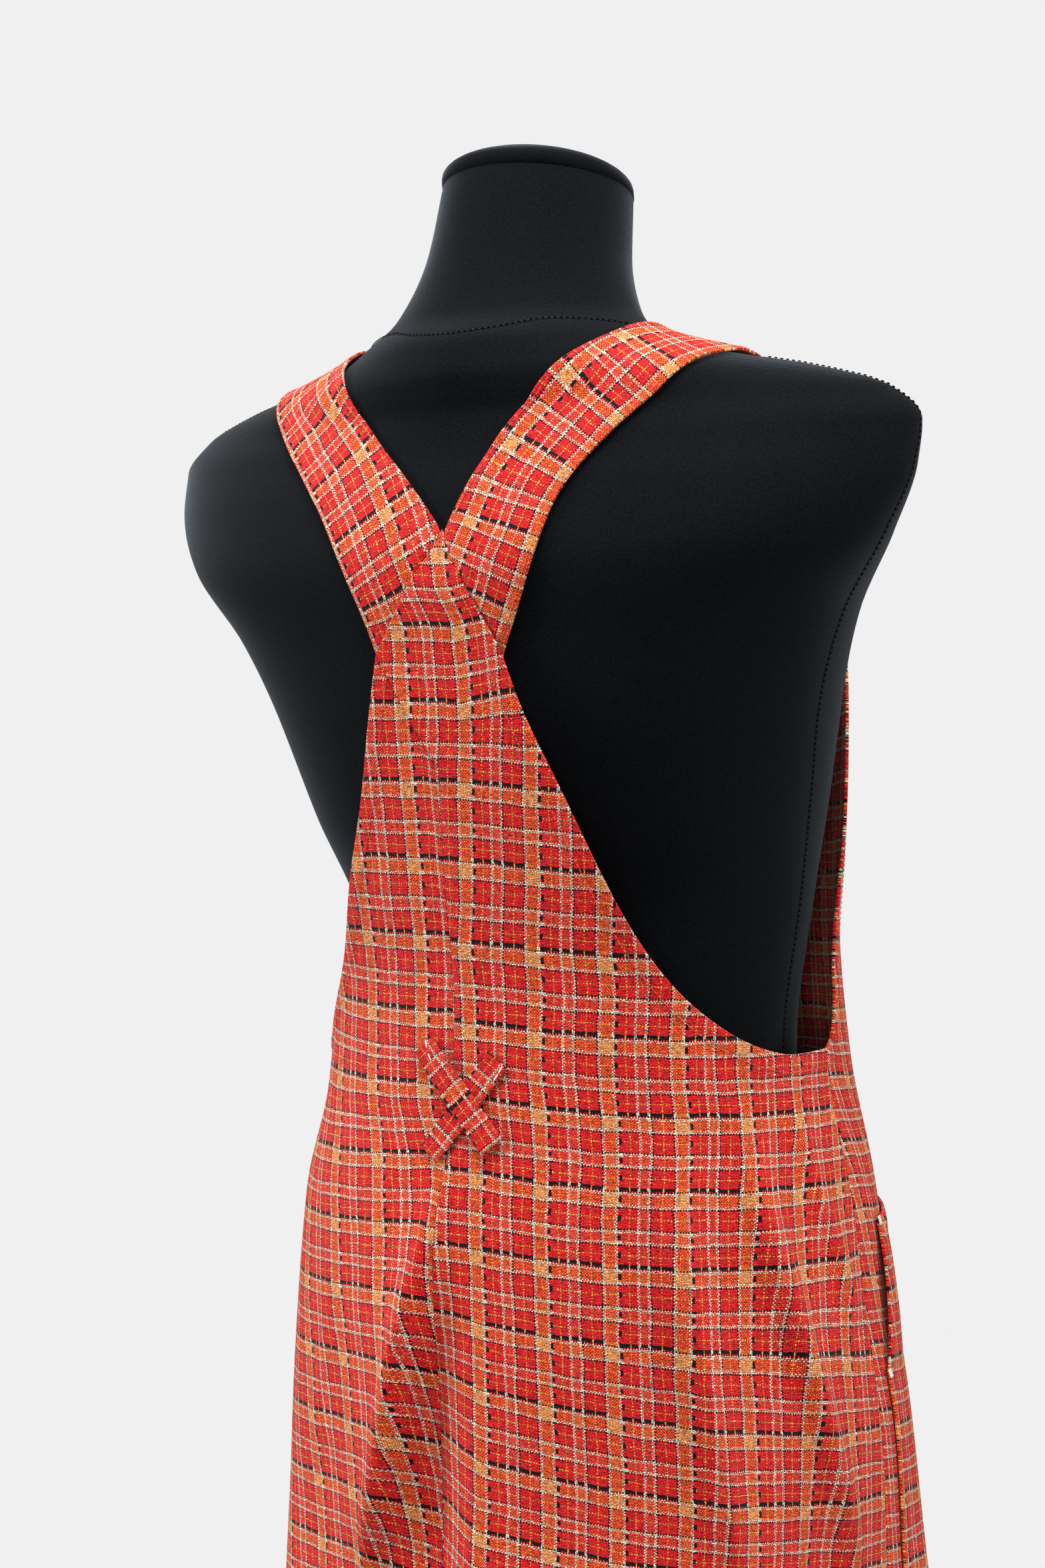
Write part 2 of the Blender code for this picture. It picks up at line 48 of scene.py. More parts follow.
SEAM_GAP = 0.0003
SEWN_GAP = 0.00004           # what is left open between two panels sewn edge to edge
CLOTH = 0.0013
STRAP_CLOTH = 0.0022
STRAP_LIFT = 0.0016
TAB_CLOTH = 0.0016
TURNED_IN = 0.0105           # how wide an edge is turned in and stitched down
TURNED_EXTRA = 0.0009        # how much thicker the turned edge is
STITCH_INSET = 0.0015        # how far inside the turned width the topstitching runs
STITCH_DIP = 0.0007
STITCH_DIP_WIDTH = 0.0009
SEAM_DIP = 0.0005
SEAM_DIP_WIDTH = 0.0020
WEDGE_SEAM_RISE = 0.0013
WEDGE_SEAM_WIDTH = 0.006
PANEL_STEP = 0.0055          # mesh step of the front and the pockets

HEM_Z = 0.470
BIB_TOP_Z = 1.275
FORM_BOTTOM_Z = 0.700
FORM_EDGE = 0.004            # how high the slope at the form's bottom edge is
NECK_TOP_Z = 1.506
NECK_FOOT_Z = 1.430
NECK_TILT = math.tan(math.radians(14))
CAP_RIM = 0.004
CAP_RISE = 0.019
CAP_OVERHANG = 0.0004
BASE_FOOT_RADIUS = 0.163
BOSS_TOP_Z = 0.042
POLE_RADIUS = 0.0125
FLANGE_RADIUS = 0.055
FLANGE_HEIGHT = 0.008
UNDERARM_Z = 1.035

# Sections of the form: z, half width, middle y, depth to the back, depth to the front, roundness.
FORM = [
    (0.700, 0.150, 0.000, 0.098, 0.090, 2.2),
    (0.730, 0.163, 0.000, 0.114, 0.100, 2.2),
    (0.820, 0.168, 0.000, 0.122, 0.108, 2.2),
    (0.920, 0.148, -0.010, 0.105, 0.100, 2.2),
    (1.020, 0.120, -0.020, 0.090, 0.090, 2.1),
    (1.110, 0.135, -0.020, 0.097, 0.098, 2.1),
    (1.170, 0.150, -0.010, 0.107, 0.114, 2.2),
    (1.225, 0.163, -0.001, 0.114, 0.130, 2.2),
    (1.270, 0.182, 0.007, 0.111, 0.116, 2.2),
    (1.310, 0.210, 0.014, 0.108, 0.098, 2.1),
    (1.345, 0.226, 0.009, 0.102, 0.080, 1.9),
    (1.368, 0.229, 0.005, 0.095, 0.070, 1.7),
    (1.385, 0.213, 0.007, 0.088, 0.062, 1.5),
    (1.397, 0.179, 0.014, 0.083, 0.056, 1.45),
    (1.409, 0.129, 0.021, 0.077, 0.056, 1.5),
    (1.422, 0.091, 0.023, 0.069, 0.056, 1.7),
    (1.440, 0.070, 0.010, 0.060, 0.054, 1.9),
    (1.470, 0.057, -0.007, 0.055, 0.052, 2.0),
    (1.510, 0.052, -0.022, 0.052, 0.052, 2.0),
]

# Sections of the dress as it hangs: z, half width, shift to the wearer's left, middle y, back, front,
# roundness.
DRESS = [
    (0.470, 0.214, 0.000, 0.008, 0.194, 0.184, 2.0),
    (0.640, 0.188, 0.000, 0.006, 0.182, 0.168, 2.0),
    (0.720, 0.176, 0.000, 0.006, 0.175, 0.160, 2.1),
    (0.820, 0.174, 0.000, -0.001, 0.162, 0.155, 2.1),
    (0.900, 0.167, 0.000, -0.004, 0.154, 0.147, 2.1),
    (0.960, 0.160, 0.000, -0.008, 0.148, 0.140, 2.1),
    (1.020, 0.147, -0.003, -0.011, 0.137, 0.131, 2.1),
    (1.080, 0.142, -0.005, -0.012, 0.130, 0.127, 2.1),
    (1.150, 0.153, -0.002, -0.006, 0.125, 0.131, 2.2),
    (1.225, 0.170, 0.000, 0.002, 0.121, 0.138, 2.2),
    (1.270, 0.189, 0.000, 0.008, 0.116, 0.124, 2.2),
    (1.300, 0.208, 0.000, 0.013, 0.113, 0.108, 2.1),
    (1.340, 0.231, 0.000, 0.010, 0.106, 0.086, 1.9),
]

# Back armholes, from the Y corner down to the underarm: z, s on the right, s on the left.
BACK_ARMHOLE = [
    (1.264, 0.0410, 0.0335),
    (1.234, 0.050, 0.041),
    (1.194, 0.065, 0.052),
    (1.150, 0.080, 0.070),
    (1.110, 0.095, 0.090),
    (1.085, 0.110, 0.109),
    (1.062, 0.134, 0.132),
    (1.046, 0.161, 0.158),
    (1.038, 0.187, 0.184),
]

# Front armholes, from just above the underarm to the bib's corner: z, distance from the centre front.
FRONT_ARMHOLE = [
    (1.041, 0.209),
    (1.054, 0.199),
    (1.078, 0.192),
    (1.110, 0.184),
    (1.160, 0.172),
    (1.200, 0.162),
    (1.240, 0.152),
    (BIB_TOP_Z, 0.143),
]
# Where the straps meet above the wedge, and the centre back seam from the hem up: s and z.
V_NOTCH = (0.010, 1.326)
CENTRE_SEAM = [
    (-0.010, HEM_Z),
    (-0.009, 0.800),
    (-0.008, 1.100),
    (-0.001, 1.204),
]

# Folds: s and z at the top, s and z at the bottom, width towards the left and the right, height.
FOLDS = [
    (-0.005, 1.000, -0.046, 0.785, 0.032, 0.012, 0.012),
    (-0.046, 0.820, -0.062, 0.470, 0.034, 0.014, 0.013),
    (-0.008, 0.970, -0.012, 0.470, 0.014, 0.014, -0.010),
    (0.012, 0.950, 0.034, 0.470, 0.014, 0.024, 0.009),
    (0.100, 1.060, 0.156, 0.770, 0.012, 0.018, 0.004),
    (0.136, 1.045, 0.232, 0.770, 0.014, 0.016, 0.004),
    (-0.130, 0.980, -0.140, 0.470, 0.024, 0.024, 0.004),
    (0.205, 0.880, 0.215, 0.470, 0.018, 0.018, -0.007),
    (0.150, 0.760, 0.152, 0.470, 0.026, 0.026, 0.007),
    (-0.305, 0.850, -0.320, 0.470, 0.034, 0.034, 0.022),
    (0.330, 0.860, 0.360, 0.470, 0.028, 0.028, 0.008),
    (0.410, 0.930, 0.455, 0.470, 0.024, 0.024, -0.007),
    (-0.430, 0.900, -0.480, 0.470, 0.026, 0.026, -0.006),
    (0.500, 0.900, 0.570, 0.470, 0.030, 0.030, 0.007),
    (-0.500, 0.880, -0.560, 0.470, 0.030, 0.030, 0.006),
]

# Small creases that the cloth shows from close by, in the same columns.
CREASES = [
    (-0.006, 1.000, -0.0455, 0.785, 0.009, 0.0042, 0.0070),
    (-0.0455, 0.820, -0.0615, 0.470, 0.009, 0.0046, 0.0070),
    (0.136, 1.045, 0.232, 0.770, 0.006, 0.010, 0.0076),
    (0.100, 1.060, 0.156, 0.770, 0.005, 0.009, 0.0058),
    (0.176, 1.035, 0.236, 0.900, 0.005, 0.008, 0.0048),
    (0.060, 1.010, 0.070, 0.880, 0.006, 0.009, 0.0010),
    (0.150, 1.030, 0.196, 0.890, 0.005, 0.008, 0.0016),
    (0.020, 1.180, 0.004, 1.090, 0.006, 0.006, 0.0008),
    (-0.040, 1.020, -0.060, 0.900, 0.008, 0.006, 0.0012),
    (-0.090, 0.960, -0.104, 0.830, 0.007, 0.010, 0.0014),
    (0.210, 1.000, 0.235, 0.920, 0.006, 0.006, 0.0012),
    (0.090, 0.870, 0.096, 0.700, 0.009, 0.012, 0.0012),
    (-0.200, 0.980, -0.225, 0.840, 0.009, 0.009, 0.0014),
    (0.420, 1.120, 0.400, 1.000, 0.008, 0.010, 0.0010),
    (-0.390, 1.130, -0.400, 1.010, 0.008, 0.010, 0.0012),
    (0.470, 1.010, 0.500, 0.880, 0.009, 0.007, 0.0012),
    (-0.460, 1.000, -0.480, 0.850, 0.009, 0.007, 0.0010),
]

STRAP_AXIS_Z = 1.330
STRAP_WIDTH = 0.050
STRAP_LENGTH = 0.46
STRAP_STEP = 0.0028
STRAP_STITCH = 0.0022        # how far in from its edges a strap is stitched
# Rows along the straps: the inner edge's angle in degrees about the shoulder line and its x, the outer
# edge's angle and x, and the extra lift of each edge.
STRAP_BACK = {
    "right": [
        (-5.2, 0.0100, -33.5, 0.038, -0.0013, 0.0010),
        (-2, 0.0125, -29, 0.043, 0.0000, 0.0026),
        (5, 0.018, -19, 0.054, 0.0000, 0.0014),
        (14, 0.026, -8, 0.064, 0.0000, 0.0004),
        (24, 0.035, 5, 0.073, 0.0000, 0.0000),
        (35, 0.049, 18, 0.087, 0.0000, 0.0000),
        (46, 0.066, 36, 0.108, 0.0000, 0.0000),
        (58, 0.079, 56, 0.127, 0.0000, 0.0000),
    ],
    "left": [
        (-5, -0.0105, -33, 0.032, -0.0013, 0.0010),
        (-2, -0.0080, -29, 0.035, 0.0000, 0.0026),
        (4, 0.002, -20, 0.042, 0.0000, 0.0014),
        (11, 0.015, -11, 0.051, 0.0000, 0.0004),
        (20, 0.032, 3, 0.070, 0.0000, 0.0000),
        (31, 0.050, 19, 0.095, 0.0000, 0.0000),
        (44, 0.069, 37, 0.118, 0.0000, 0.0000),
        (58, 0.081, 56, 0.133, 0.0000, 0.0000),
    ],
}
STRAP_FRONT = [
    (80, 0.087, 80, 0.139, 0.0000, 0.0000),
    (105, 0.089, 105, 0.140, 0.0000, 0.0000),
    (135, 0.086, 136, 0.136, 0.0000, 0.0000),
    (162, 0.080, 163, 0.130, 0.0008, 0.0008),
    (187, 0.076, 189, 0.125, 0.0022, 0.0022),
]
STRAP_FOOT_X = (0.074, 0.122)
STRAP_FOOT_LIFT = 0.0036

TAB_WIDTH = 0.0145
TAB_SEAT = 0.0006
# The crossed tab's strips: name, start and end as s and z, lift.
TAB_STRIPS = [
    ("tab_strip_under", (0.019, 1.050), (-0.018, 0.999), TAB_SEAT),
    ("tab_strip_over", (-0.025, 1.056), (0.020, 1.005), TAB_SEAT + TAB_CLOTH + SEAM_GAP),
]
# A pocket's outline from its top front corner to its bottom front one: distance from the centre front, z.
POCKET = [
    (0.078, 0.935),
    (0.214, 0.935),
    (0.244, 0.856),
    (0.246, 0.690),
    (0.082, 0.680),
]
POCKET_STAND_OFF = 0.003
POCKET_SEAT = 0.0002

# The check: threads of each colour in one repeat, warp from left to right, weft from the bottom up.
CHECK = 0.038
THREADS = 48
WARP = [
    ("cream", 2),
    ("orange", 7),
    ("cream", 2),
    ("black", 2),
    ("red", 5),
    ("yellow", 1),
    ("red", 5),
    ("cream", 2),
    ("coral", 5),
    ("cream", 2),
    ("black", 1),
    ("red", 6),
    ("yellow", 1),
    ("red", 6),
    ("black", 1),
]
WEFT = [
    ("red", 5),
    ("yellow", 1),
    ("red", 5),
    ("black", 1),
    ("cream", 2),
    ("coral", 5),
    ("cream", 2),
    ("black", 1),
    ("red", 6),
    ("yellow", 1),
    ("red", 5),
    ("black", 1),
    ("cream", 2),
    ("orange", 6),
    ("cream", 2),
    ("black", 3),
]
WARP_START = 5.5 / THREADS       # the orange stripe's middle lies on u = 0
WEFT_START = 40 / THREADS        # and the orange row's middle on v = 0
YARN = {
    "red": (0.780, 0.017, 0.020),
    "orange": (0.900, 0.165, 0.030),
    "cream": (0.760, 0.640, 0.480),
    "coral": (0.850, 0.075, 0.045),
    "yellow": (0.880, 0.330, 0.060),
    "black": (0.014, 0.006, 0.010),
}
PALE_ORANGE = (0.95, 0.40, 0.13)            # where orange crosses orange
COVERING = ("orange", "cream", "yellow")    # the warp yarns that hide the broad black weft
DRIFT = 0.0016                              # how wide whole threads wander, in metres
STRAY = 0.0010                              # and how far their fibres do

# Where the orange warp stripe runs on each half of the back: z, its s, the distance to the next one.
STRIPE_RIGHT = [
    (0.470, 0.026, 0.0370),
    (0.810, 0.0215, 0.0350),
    (0.880, 0.0190, 0.0350),
    (0.950, 0.0145, 0.0358),
    (0.987, 0.0115, 0.0362),
    (1.060, 0.0015, 0.0372),
    (1.100, 0.0010, 0.0380),
    (1.140, 0.0075, 0.0375),
    (1.180, 0.0120, 0.0370),
    (1.240, 0.0186, 0.0370),
    (1.275, 0.0186, 0.0370),
    (1.300, 0.0105, 0.0370),
    (1.330, 0.0070, 0.0370),
]
STRIPE_LEFT = [
    (0.470, 0.0300, 0.0420),
    (0.785, -0.0060, 0.0440),
    (0.850, -0.0230, 0.0440),
    (0.887, -0.0330, 0.0430),
    (0.922, -0.0425, 0.0430),
    (0.958, -0.0478, 0.0435),
    (0.993, -0.0560, 0.0440),
    (1.030, -0.0672, 0.0410),
    (1.069, -0.0695, 0.0400),
    (1.150, -0.0640, 0.0400),
    (1.270, -0.0580, 0.0400),
]
# How many rows of the check lie above the orange row at z = 0.987: z, rows.
ROWS_RIGHT = [
    (0.470, -14.30),
    (0.809, -5.00),
    (0.842, -4.05),
    (0.878, -3.05),
    (0.9105, -2.05),
    (0.949, -1.00),
    (0.987, 0.00),
    (1.023, 0.97),
    (1.062, 1.98),
    (1.105, 3.00),
    (1.1485, 4.00),
    (1.1905, 5.00),
    (1.232, 6.00),
    (1.272, 7.00),
    (1.330, 8.45),
]
ROWS_LEFT = [
    (0.470, -15.00),
    (0.7875, -6.00),
    (0.818, -5.05),
    (0.851, -4.05),
    (0.8865, -3.02),
    (0.921, -2.04),
    (0.957, -1.00),
    (0.992, 0.00),
    (1.030, 1.00),
    (1.069, 2.00),
    (1.110, 3.00),
    (1.270, 6.90),
]


def through_rows(table, at):
    """Smooth values at each place, through a table's rows, without overshoot."""
    rows = np.array(table, float)
    place, values = rows[:, 0], rows[:, 1:]
    step = np.diff(place)[:, None]
    slope = np.diff(values, axis=0) / step
    product = slope[:-1] * slope[1:]
    total = np.where(product > 0, slope[:-1] + slope[1:], 1.0)
    tangent = np.zeros_like(values)
    tangent[0], tangent[-1] = slope[0], slope[-1]
    tangent[1:-1] = np.where(product > 0, 2 * product / total, 0.0)
    at = np.clip(np.asarray(at, float), place[0], place[-1])
    i = np.clip(np.searchsorted(place, at, side="right") - 1, 0, len(place) - 2)
    h = step[i]
    t = ((at - place[i]) / h[..., 0])[..., None]
    left = values[i] * (1 + 2 * t) * (1 - t) ** 2 + tangent[i] * h * t * (1 - t) ** 2
    right = values[i + 1] * t * t * (3 - 2 * t) + tangent[i + 1] * h * t * t * (t - 1)
    return left + right


def section(row, angle):
    """A section's x and y. Angle 0 is the centre back and grows to the wearer's right."""
    half, middle, back, front, power = np.moveaxis(np.asarray(row), -1, 0)
    sine, cosine = np.sin(angle), np.cos(angle)
    x = -half * np.sign(sine) * np.abs(sine) ** (2 / power)
    depth = np.where(cosine > 0, back, front)
    y = middle + depth * np.sign(cosine) * np.abs(cosine) ** (2 / power)
    return x, y


ARC_STEPS = 96


def half_sections(z):
    """The right half of the dress's sections as points from back to front, with arc lengths."""
    angle = np.linspace(0, math.pi, ARC_STEPS + 1)
    rows = through_rows(DRESS, z)[..., None, :]
    x, y = section(rows[..., [0, 2, 3, 4, 5]], angle)
    arc = np.zeros_like(x)
    arc[..., 1:] = np.cumsum(np.hypot(np.diff(x, axis=-1), np.diff(y, axis=-1)), axis=-1)
    return x, y, arc, rows[..., 0, 1]


def side_arc(z):
    """Arc length from the centre back to the side seam."""
    return half_sections(np.atleast_1d(float(z)))[2][0, ARC_STEPS // 2]


def half_girth(z):
    return half_sections(np.atleast_1d(np.asarray(z, float)))[2][:, -1]


def ease_in(t):
    t = np.clip(t, 0, 1)
    return t * t * (3 - 2 * t)


def hump(away, width):
    """A soft bump: one in the middle, next to nothing at twice the width."""
    return np.exp(-(away / width) ** 2)


def fold_height(s, z):
    """How far all folds and creases lift the cloth."""
    height = np.zeros_like(s)
    for s_top, z_top, s_low, z_low, left, right, rise in FOLDS + CREASES:
        t = (z_top - z) / (z_top - z_low)
        line = s_top + (s_low - s_top) * np.clip(t, 0, 1)
        fade = ease_in(2.2 * t)
        if z_low > HEM_Z:
            fade = fade * ease_in(3.0 * (1.15 - t))
        width = np.where(s < line, left, right)
        height += rise * fade * hump(s - line, width)
    return height


def hang(s, z):
    """Places on the smooth drape, without folds."""
    x, y, arc, shift = half_sections(z)
    way = np.minimum(np.abs(s), arc[:, -1])
    i = np.clip((arc < way[:, None]).sum(axis=1) - 1, 0, ARC_STEPS - 1)
    pick = np.arange(len(s))
    t = (way - arc[pick, i]) / (arc[pick, i + 1] - arc[pick, i])
    px = x[pick, i] + t * (x[pick, i + 1] - x[pick, i])
    py = y[pick, i] + t * (y[pick, i + 1] - y[pick, i])
    return np.stack([np.where(s < 0, -px, px) + shift, py, z], axis=-1)


def drape(s, z, lift):
    """Places of the cloth's points at a lift off its inner face, folds included, and the way out."""
    s, z = np.asarray(s, float), np.asarray(z, float)
    small = 0.004
    across = hang(s + small, z) - hang(s - small, z)
    along = hang(s, z + small) - hang(s, z - small)
    normal = np.cross(across, along)
    normal /= np.linalg.norm(normal, axis=1, keepdims=True)
    return hang(s, z) + normal * (lift + fold_height(s, z))[:, None], normal


# Steps near a piece's border, so that its edge can be rounded: distances from the border.
EDGE_STEPS = (0.0, 0.0004, 0.0011, 0.0024)


def spread(length, step):
    """Shares of a length from 0 to 1: close together at both ends, even between."""
    edge = np.array(EDGE_STEPS) / length
    count = max(2, round((length - 2 * EDGE_STEPS[-1]) / step))
    middle = np.linspace(edge[-1], 1 - edge[-1], count + 1)[1:-1]
    return np.concatenate([edge, middle, 1 - edge[::-1]])


def way_along(points):
    """How far along a line of points each one lies."""
    return np.concatenate([[0], np.cumsum(np.linalg.norm(np.diff(points, axis=0), axis=1))])


def line_length(points):
    return float(np.linalg.norm(np.diff(np.array(points, float), axis=0), axis=1).sum())


def resample(points, share):
    """Places at the given shares of a smooth line through the points."""
    points = np.array(points, float)
    way = way_along(points)
    return through_rows(np.column_stack([way, points]), way[-1] * np.asarray(share))


def blend(left, right, bottom, top, u, v):
    """A grid between four border lines. Rows go up, columns go from left to right."""
    v = v[:, None, None]
    u = u[None, :, None]
    across = (1 - u) * left[:, None] + u * right[:, None]
    upward = (1 - v) * bottom[None] + v * top[None]
    corners = ((1 - u) * (1 - v) * bottom[0] + u * (1 - v) * bottom[-1]
               + (1 - u) * v * top[0] + u * v * top[-1])
    return across + upward - corners


def nearest_on(points, line):
    """Each point's distance from a line of points, and how far along the line the nearest place is."""
    line = np.array(line, float)
    nearest, place, way = np.full(len(points), 1.0), np.zeros(len(points)), 0.0
    for a, b in zip(line[:-1], line[1:]):
        along = b - a
        length = np.linalg.norm(along) + 1e-12
        t = np.clip(((points - a) @ along) / length ** 2, 0, 1)
        away = np.linalg.norm(points - a - t[:, None] * along, axis=1)
        place = np.where(away < nearest, way + t * length, place)
        nearest = np.minimum(nearest, away)
        way += length
    return nearest, place


def distance(points, line):
    return nearest_on(points, line)[0]


def mesh_object(name, points, faces, material, smooth_angle=50):
    mesh = bpy.data.meshes.new(name)
    mesh.from_pydata([tuple(map(float, p)) for p in points], [], faces)
    mesh.shade_smooth()
    mesh.set_sharp_from_angle(angle=math.radians(smooth_angle))
    thing = bpy.data.objects.new(name, mesh)
    bpy.context.scene.collection.objects.link(thing)
    mesh.materials.append(material)
    return thing


def wall(name, inner, outer, weave):
    """A closed wall of checked cloth between two grids of points.

    Weave is a grid of warp and weft places, in metres."""
    rows, columns = inner.shape[:2]
    half = rows * columns
    points = np.concatenate([inner.reshape(-1, 3), outer.reshape(-1, 3)])
    index = np.arange(half).reshape(rows, columns)
    a, b, c, d = index[:-1, :-1], index[:-1, 1:], index[1:, 1:], index[1:, :-1]
    outer_faces = np.stack([a, b, c, d], axis=-1).reshape(-1, 4) + half
    inner_faces = np.stack([d, c, b, a], axis=-1).reshape(-1, 4)
    border = np.concatenate([index[0], index[1:, -1], index[-1, -2::-1], index[-2:0:-1, 0]])
    after = np.roll(border, -1)
    rim = np.stack([border, after, after + half, border + half], axis=-1)
    faces = np.concatenate([outer_faces, inner_faces, rim]).tolist()
    thing = mesh_object(name, points, faces, CHECKED, 70)
    mesh = thing.data
    weave = np.tile(weave.reshape(-1, 2), (2, 1))
    corner = np.zeros(len(mesh.loops), int)
    mesh.loops.foreach_get("vertex_index", corner)
    layer = mesh.uv_layers.new(name="weave")
    layer.data.foreach_set("uv", weave[corner].astype(np.float32).ravel())
    return thing


def edge_profile(shape):
    """How full the cloth is near its border: less than half at the edge, one inside."""
    near = np.array([0.42, 0.80, 0.97, 1.0])
    full = np.ones(shape)
    for k, value in enumerate(near):
        for line in (full[k], full[-1 - k], full[:, k], full[:, -1 - k]):
            np.minimum(line, value, out=line)
    return full


def cloth_piece(name, grid, weave, lift=0.0, thickness=CLOTH, turned=(), seams=(), raised=()):
    """A shell of checked cloth on the drape, from a grid of s and z.

    Turned lines are edges turned in and stitched down. Seams are where the cloth dips to its seam.
    Raised lines are where it stands proud, each with its height and width."""
    flat = grid.reshape(-1, 2)
    shape = grid.shape[:2]
    full = edge_profile(shape).reshape(-1)
    lift = np.broadcast_to(lift, shape).reshape(-1).copy()
    thick = np.full(len(flat), thickness)
    for line in turned:
        near = distance(flat, line)
        thick += TURNED_EXTRA * (1 - ease_in((near - TURNED_IN + 0.001) / 0.002))
        thick -= STITCH_DIP * hump(near - TURNED_IN + STITCH_INSET, STITCH_DIP_WIDTH)
    for line in seams:
        lift -= SEAM_DIP * hump(distance(flat, line), SEAM_DIP_WIDTH)
    for line, height, width in raised:
        lift += height * hump(distance(flat, line), width)
    inner, _ = drape(flat[:, 0], flat[:, 1], lift + thick * (1 - full) / 2)
    outer, _ = drape(flat[:, 0], flat[:, 1], lift + thick * (1 + full) / 2)
    woven = weave(flat).reshape(*shape, 2)
    return wall(name, inner.reshape(*shape, 3), outer.reshape(*shape, 3), woven)


def right_weave(flat):
    """Rows fall to the side by 12 in 100, by 21 from the hips down, and climb by 18 in the wedge."""
    s, z = flat[:, 0], flat[:, 1]
    stripe, pitch = through_rows(STRIPE_RIGHT, z).T
    slope = 0.12 + 0.09 * ease_in((0.94 - z) / 0.10) - 0.30 * ease_in((z - 1.20) / 0.05)
    level = z + slope * np.maximum(s - 0.015, 0) + 0.06 * np.minimum(s - 0.015, 0)
    level += 0.30 * ease_in((0.96 - z) / 0.12) * np.minimum(s - 0.020, 0)
    rows = through_rows(ROWS_RIGHT, level)[:, 0]
    return np.column_stack([(s - stripe) / pitch * CHECK, rows * CHECK])


def left_weave(flat):
    """The check bends at the crest of the large ridge."""
    s, z = flat[:, 0], flat[:, 1]
    stripe, pitch = through_rows(STRIPE_LEFT, z).T
    crest = np.interp(z, [0.470, 0.785, 1.000], [-0.070, -0.054, -0.010])
    level = z - 0.09 * (np.minimum(s, crest) + 0.060) * ease_in((1.06 - z) / 0.06)
    level += 0.25 * np.maximum(s - crest, 0)
    rows = through_rows(ROWS_LEFT, level)[:, 0]
    return np.column_stack([(s - stripe + 0.4 * np.maximum(s - crest, 0)) / pitch * CHECK, rows * CHECK])


def front_weave(flat):
    """The check hangs straight at the centre front, and its rows rise a little to the sides."""
    away = half_girth(flat[:, 1]) - np.abs(flat[:, 0])
    across = np.where(flat[:, 0] > 0, -away, away)
    return np.column_stack([across + 0.006, flat[:, 1] - 0.0035 - 0.5 * across ** 2])


def side_seam(sign, away):
    """The side seam from the hem up, moved outwards by a distance."""
    z = np.linspace(HEM_Z, UNDERARM_Z, 40)
    return np.array([(sign * (side_arc(h) + away), h) for h in z])


def make_back(name, sign):
    """One half of the back. The right half reaches up into the wedge between the straps."""
    gap = SEWN_GAP
    column = 1 if sign > 0 else 2
    foot = np.array(CENTRE_SEAM[-1])
    left_corner = np.array([-BACK_ARMHOLE[0][2], BACK_ARMHOLE[0][0]])
    away = np.array([left_corner[1] - foot[1], foot[0] - left_corner[0]])
    away *= sign * gap / np.linalg.norm(away)
    underarm = (sign * (side_arc(UNDERARM_Z) - gap), UNDERARM_Z)
    armhole = [(sign * row[column], row[0]) for row in BACK_ARMHOLE] + [underarm]
    armhole = resample(armhole, np.linspace(0, 1, 60))
    straight = resample([(s + sign * gap, z) for s, z in CENTRE_SEAM], np.linspace(0, 1, 60))
    corner = left_corner + away
    centre = np.vstack([straight, corner[None]])
    top = armhole
    if sign > 0:
        centre = np.vstack([centre, np.array(V_NOTCH)[None]])
        top = np.vstack([np.array(V_NOTCH)[None], armhole])
    else:
        top[0] = corner
    side = side_seam(sign, -gap)
    v = spread(line_length(centre), 0.0050)
    u = spread(line_length([centre[0], side[0]]), 0.0045)
    bottom = resample([centre[0], side[0]], u)
    grid = blend(sharp_line(centre, v), resample(side, v), bottom, sharp_line(top, u), u, v)
    if sign < 0:
        grid = grid[:, ::-1]
    weave = right_weave if sign > 0 else left_weave
    raised = [([foot, left_corner], WEDGE_SEAM_RISE, WEDGE_SEAM_WIDTH)] if sign > 0 else []
    seams = [straight, side] if sign > 0 else [centre, side]
    piece = cloth_piece(name, grid, weave, turned=[armhole, grid[0]], seams=seams, raised=raised)
    return piece, armhole


def sharp_line(points, share):
    """Places at the given shares of a line that keeps its corners."""
    points = np.array(points, float)
    way = way_along(points)
    return np.column_stack([np.interp(way[-1] * share, way, points[:, k]) for k in range(2)])


def from_front(flat):
    """Signed distances from the centre front and heights as s and z."""
    side = np.where(flat[:, 0] >= 0, 1.0, -1.0)
    return np.column_stack([side * (half_girth(flat[:, 1]) - np.abs(flat[:, 0])), flat[:, 1]])


def make_front():
    """The front with its bib, laid out by distances from the centre front."""
    gap = SEWN_GAP
    heights = np.linspace(HEM_Z, UNDERARM_Z, 40)
    borders, rises, seams = [], [], []
    for sign in (1, -1):
        seam = np.array([(half_girth(h)[0] - side_arc(h) - gap, h) for h in heights])
        rise = resample([seam[-1]] + [(d, z) for z, d in FRONT_ARMHOLE], np.linspace(0, 1, 50))
        borders.append(np.vstack([seam, rise[1:]]) * (sign, 1))
        rises.append(from_front(rise * (sign, 1)))
        seams.append(from_front(seam * (sign, 1)))
    right, left = borders
    v = spread(line_length(right), PANEL_STEP)
    u = spread(line_length([right[0], left[0]]), PANEL_STEP)
    bottom, top = sharp_line([right[0], left[0]], u), sharp_line([right[-1], left[-1]], u)
    grid = blend(sharp_line(right, v), sharp_line(left, v), bottom, top, u, v)
    shape = grid.shape
    grid = from_front(grid.reshape(-1, 2)).reshape(shape)
    turned = rises + [grid[0], grid[-1]]
    return cloth_piece("front_cloth", grid, front_weave, turned=turned, seams=seams), rises


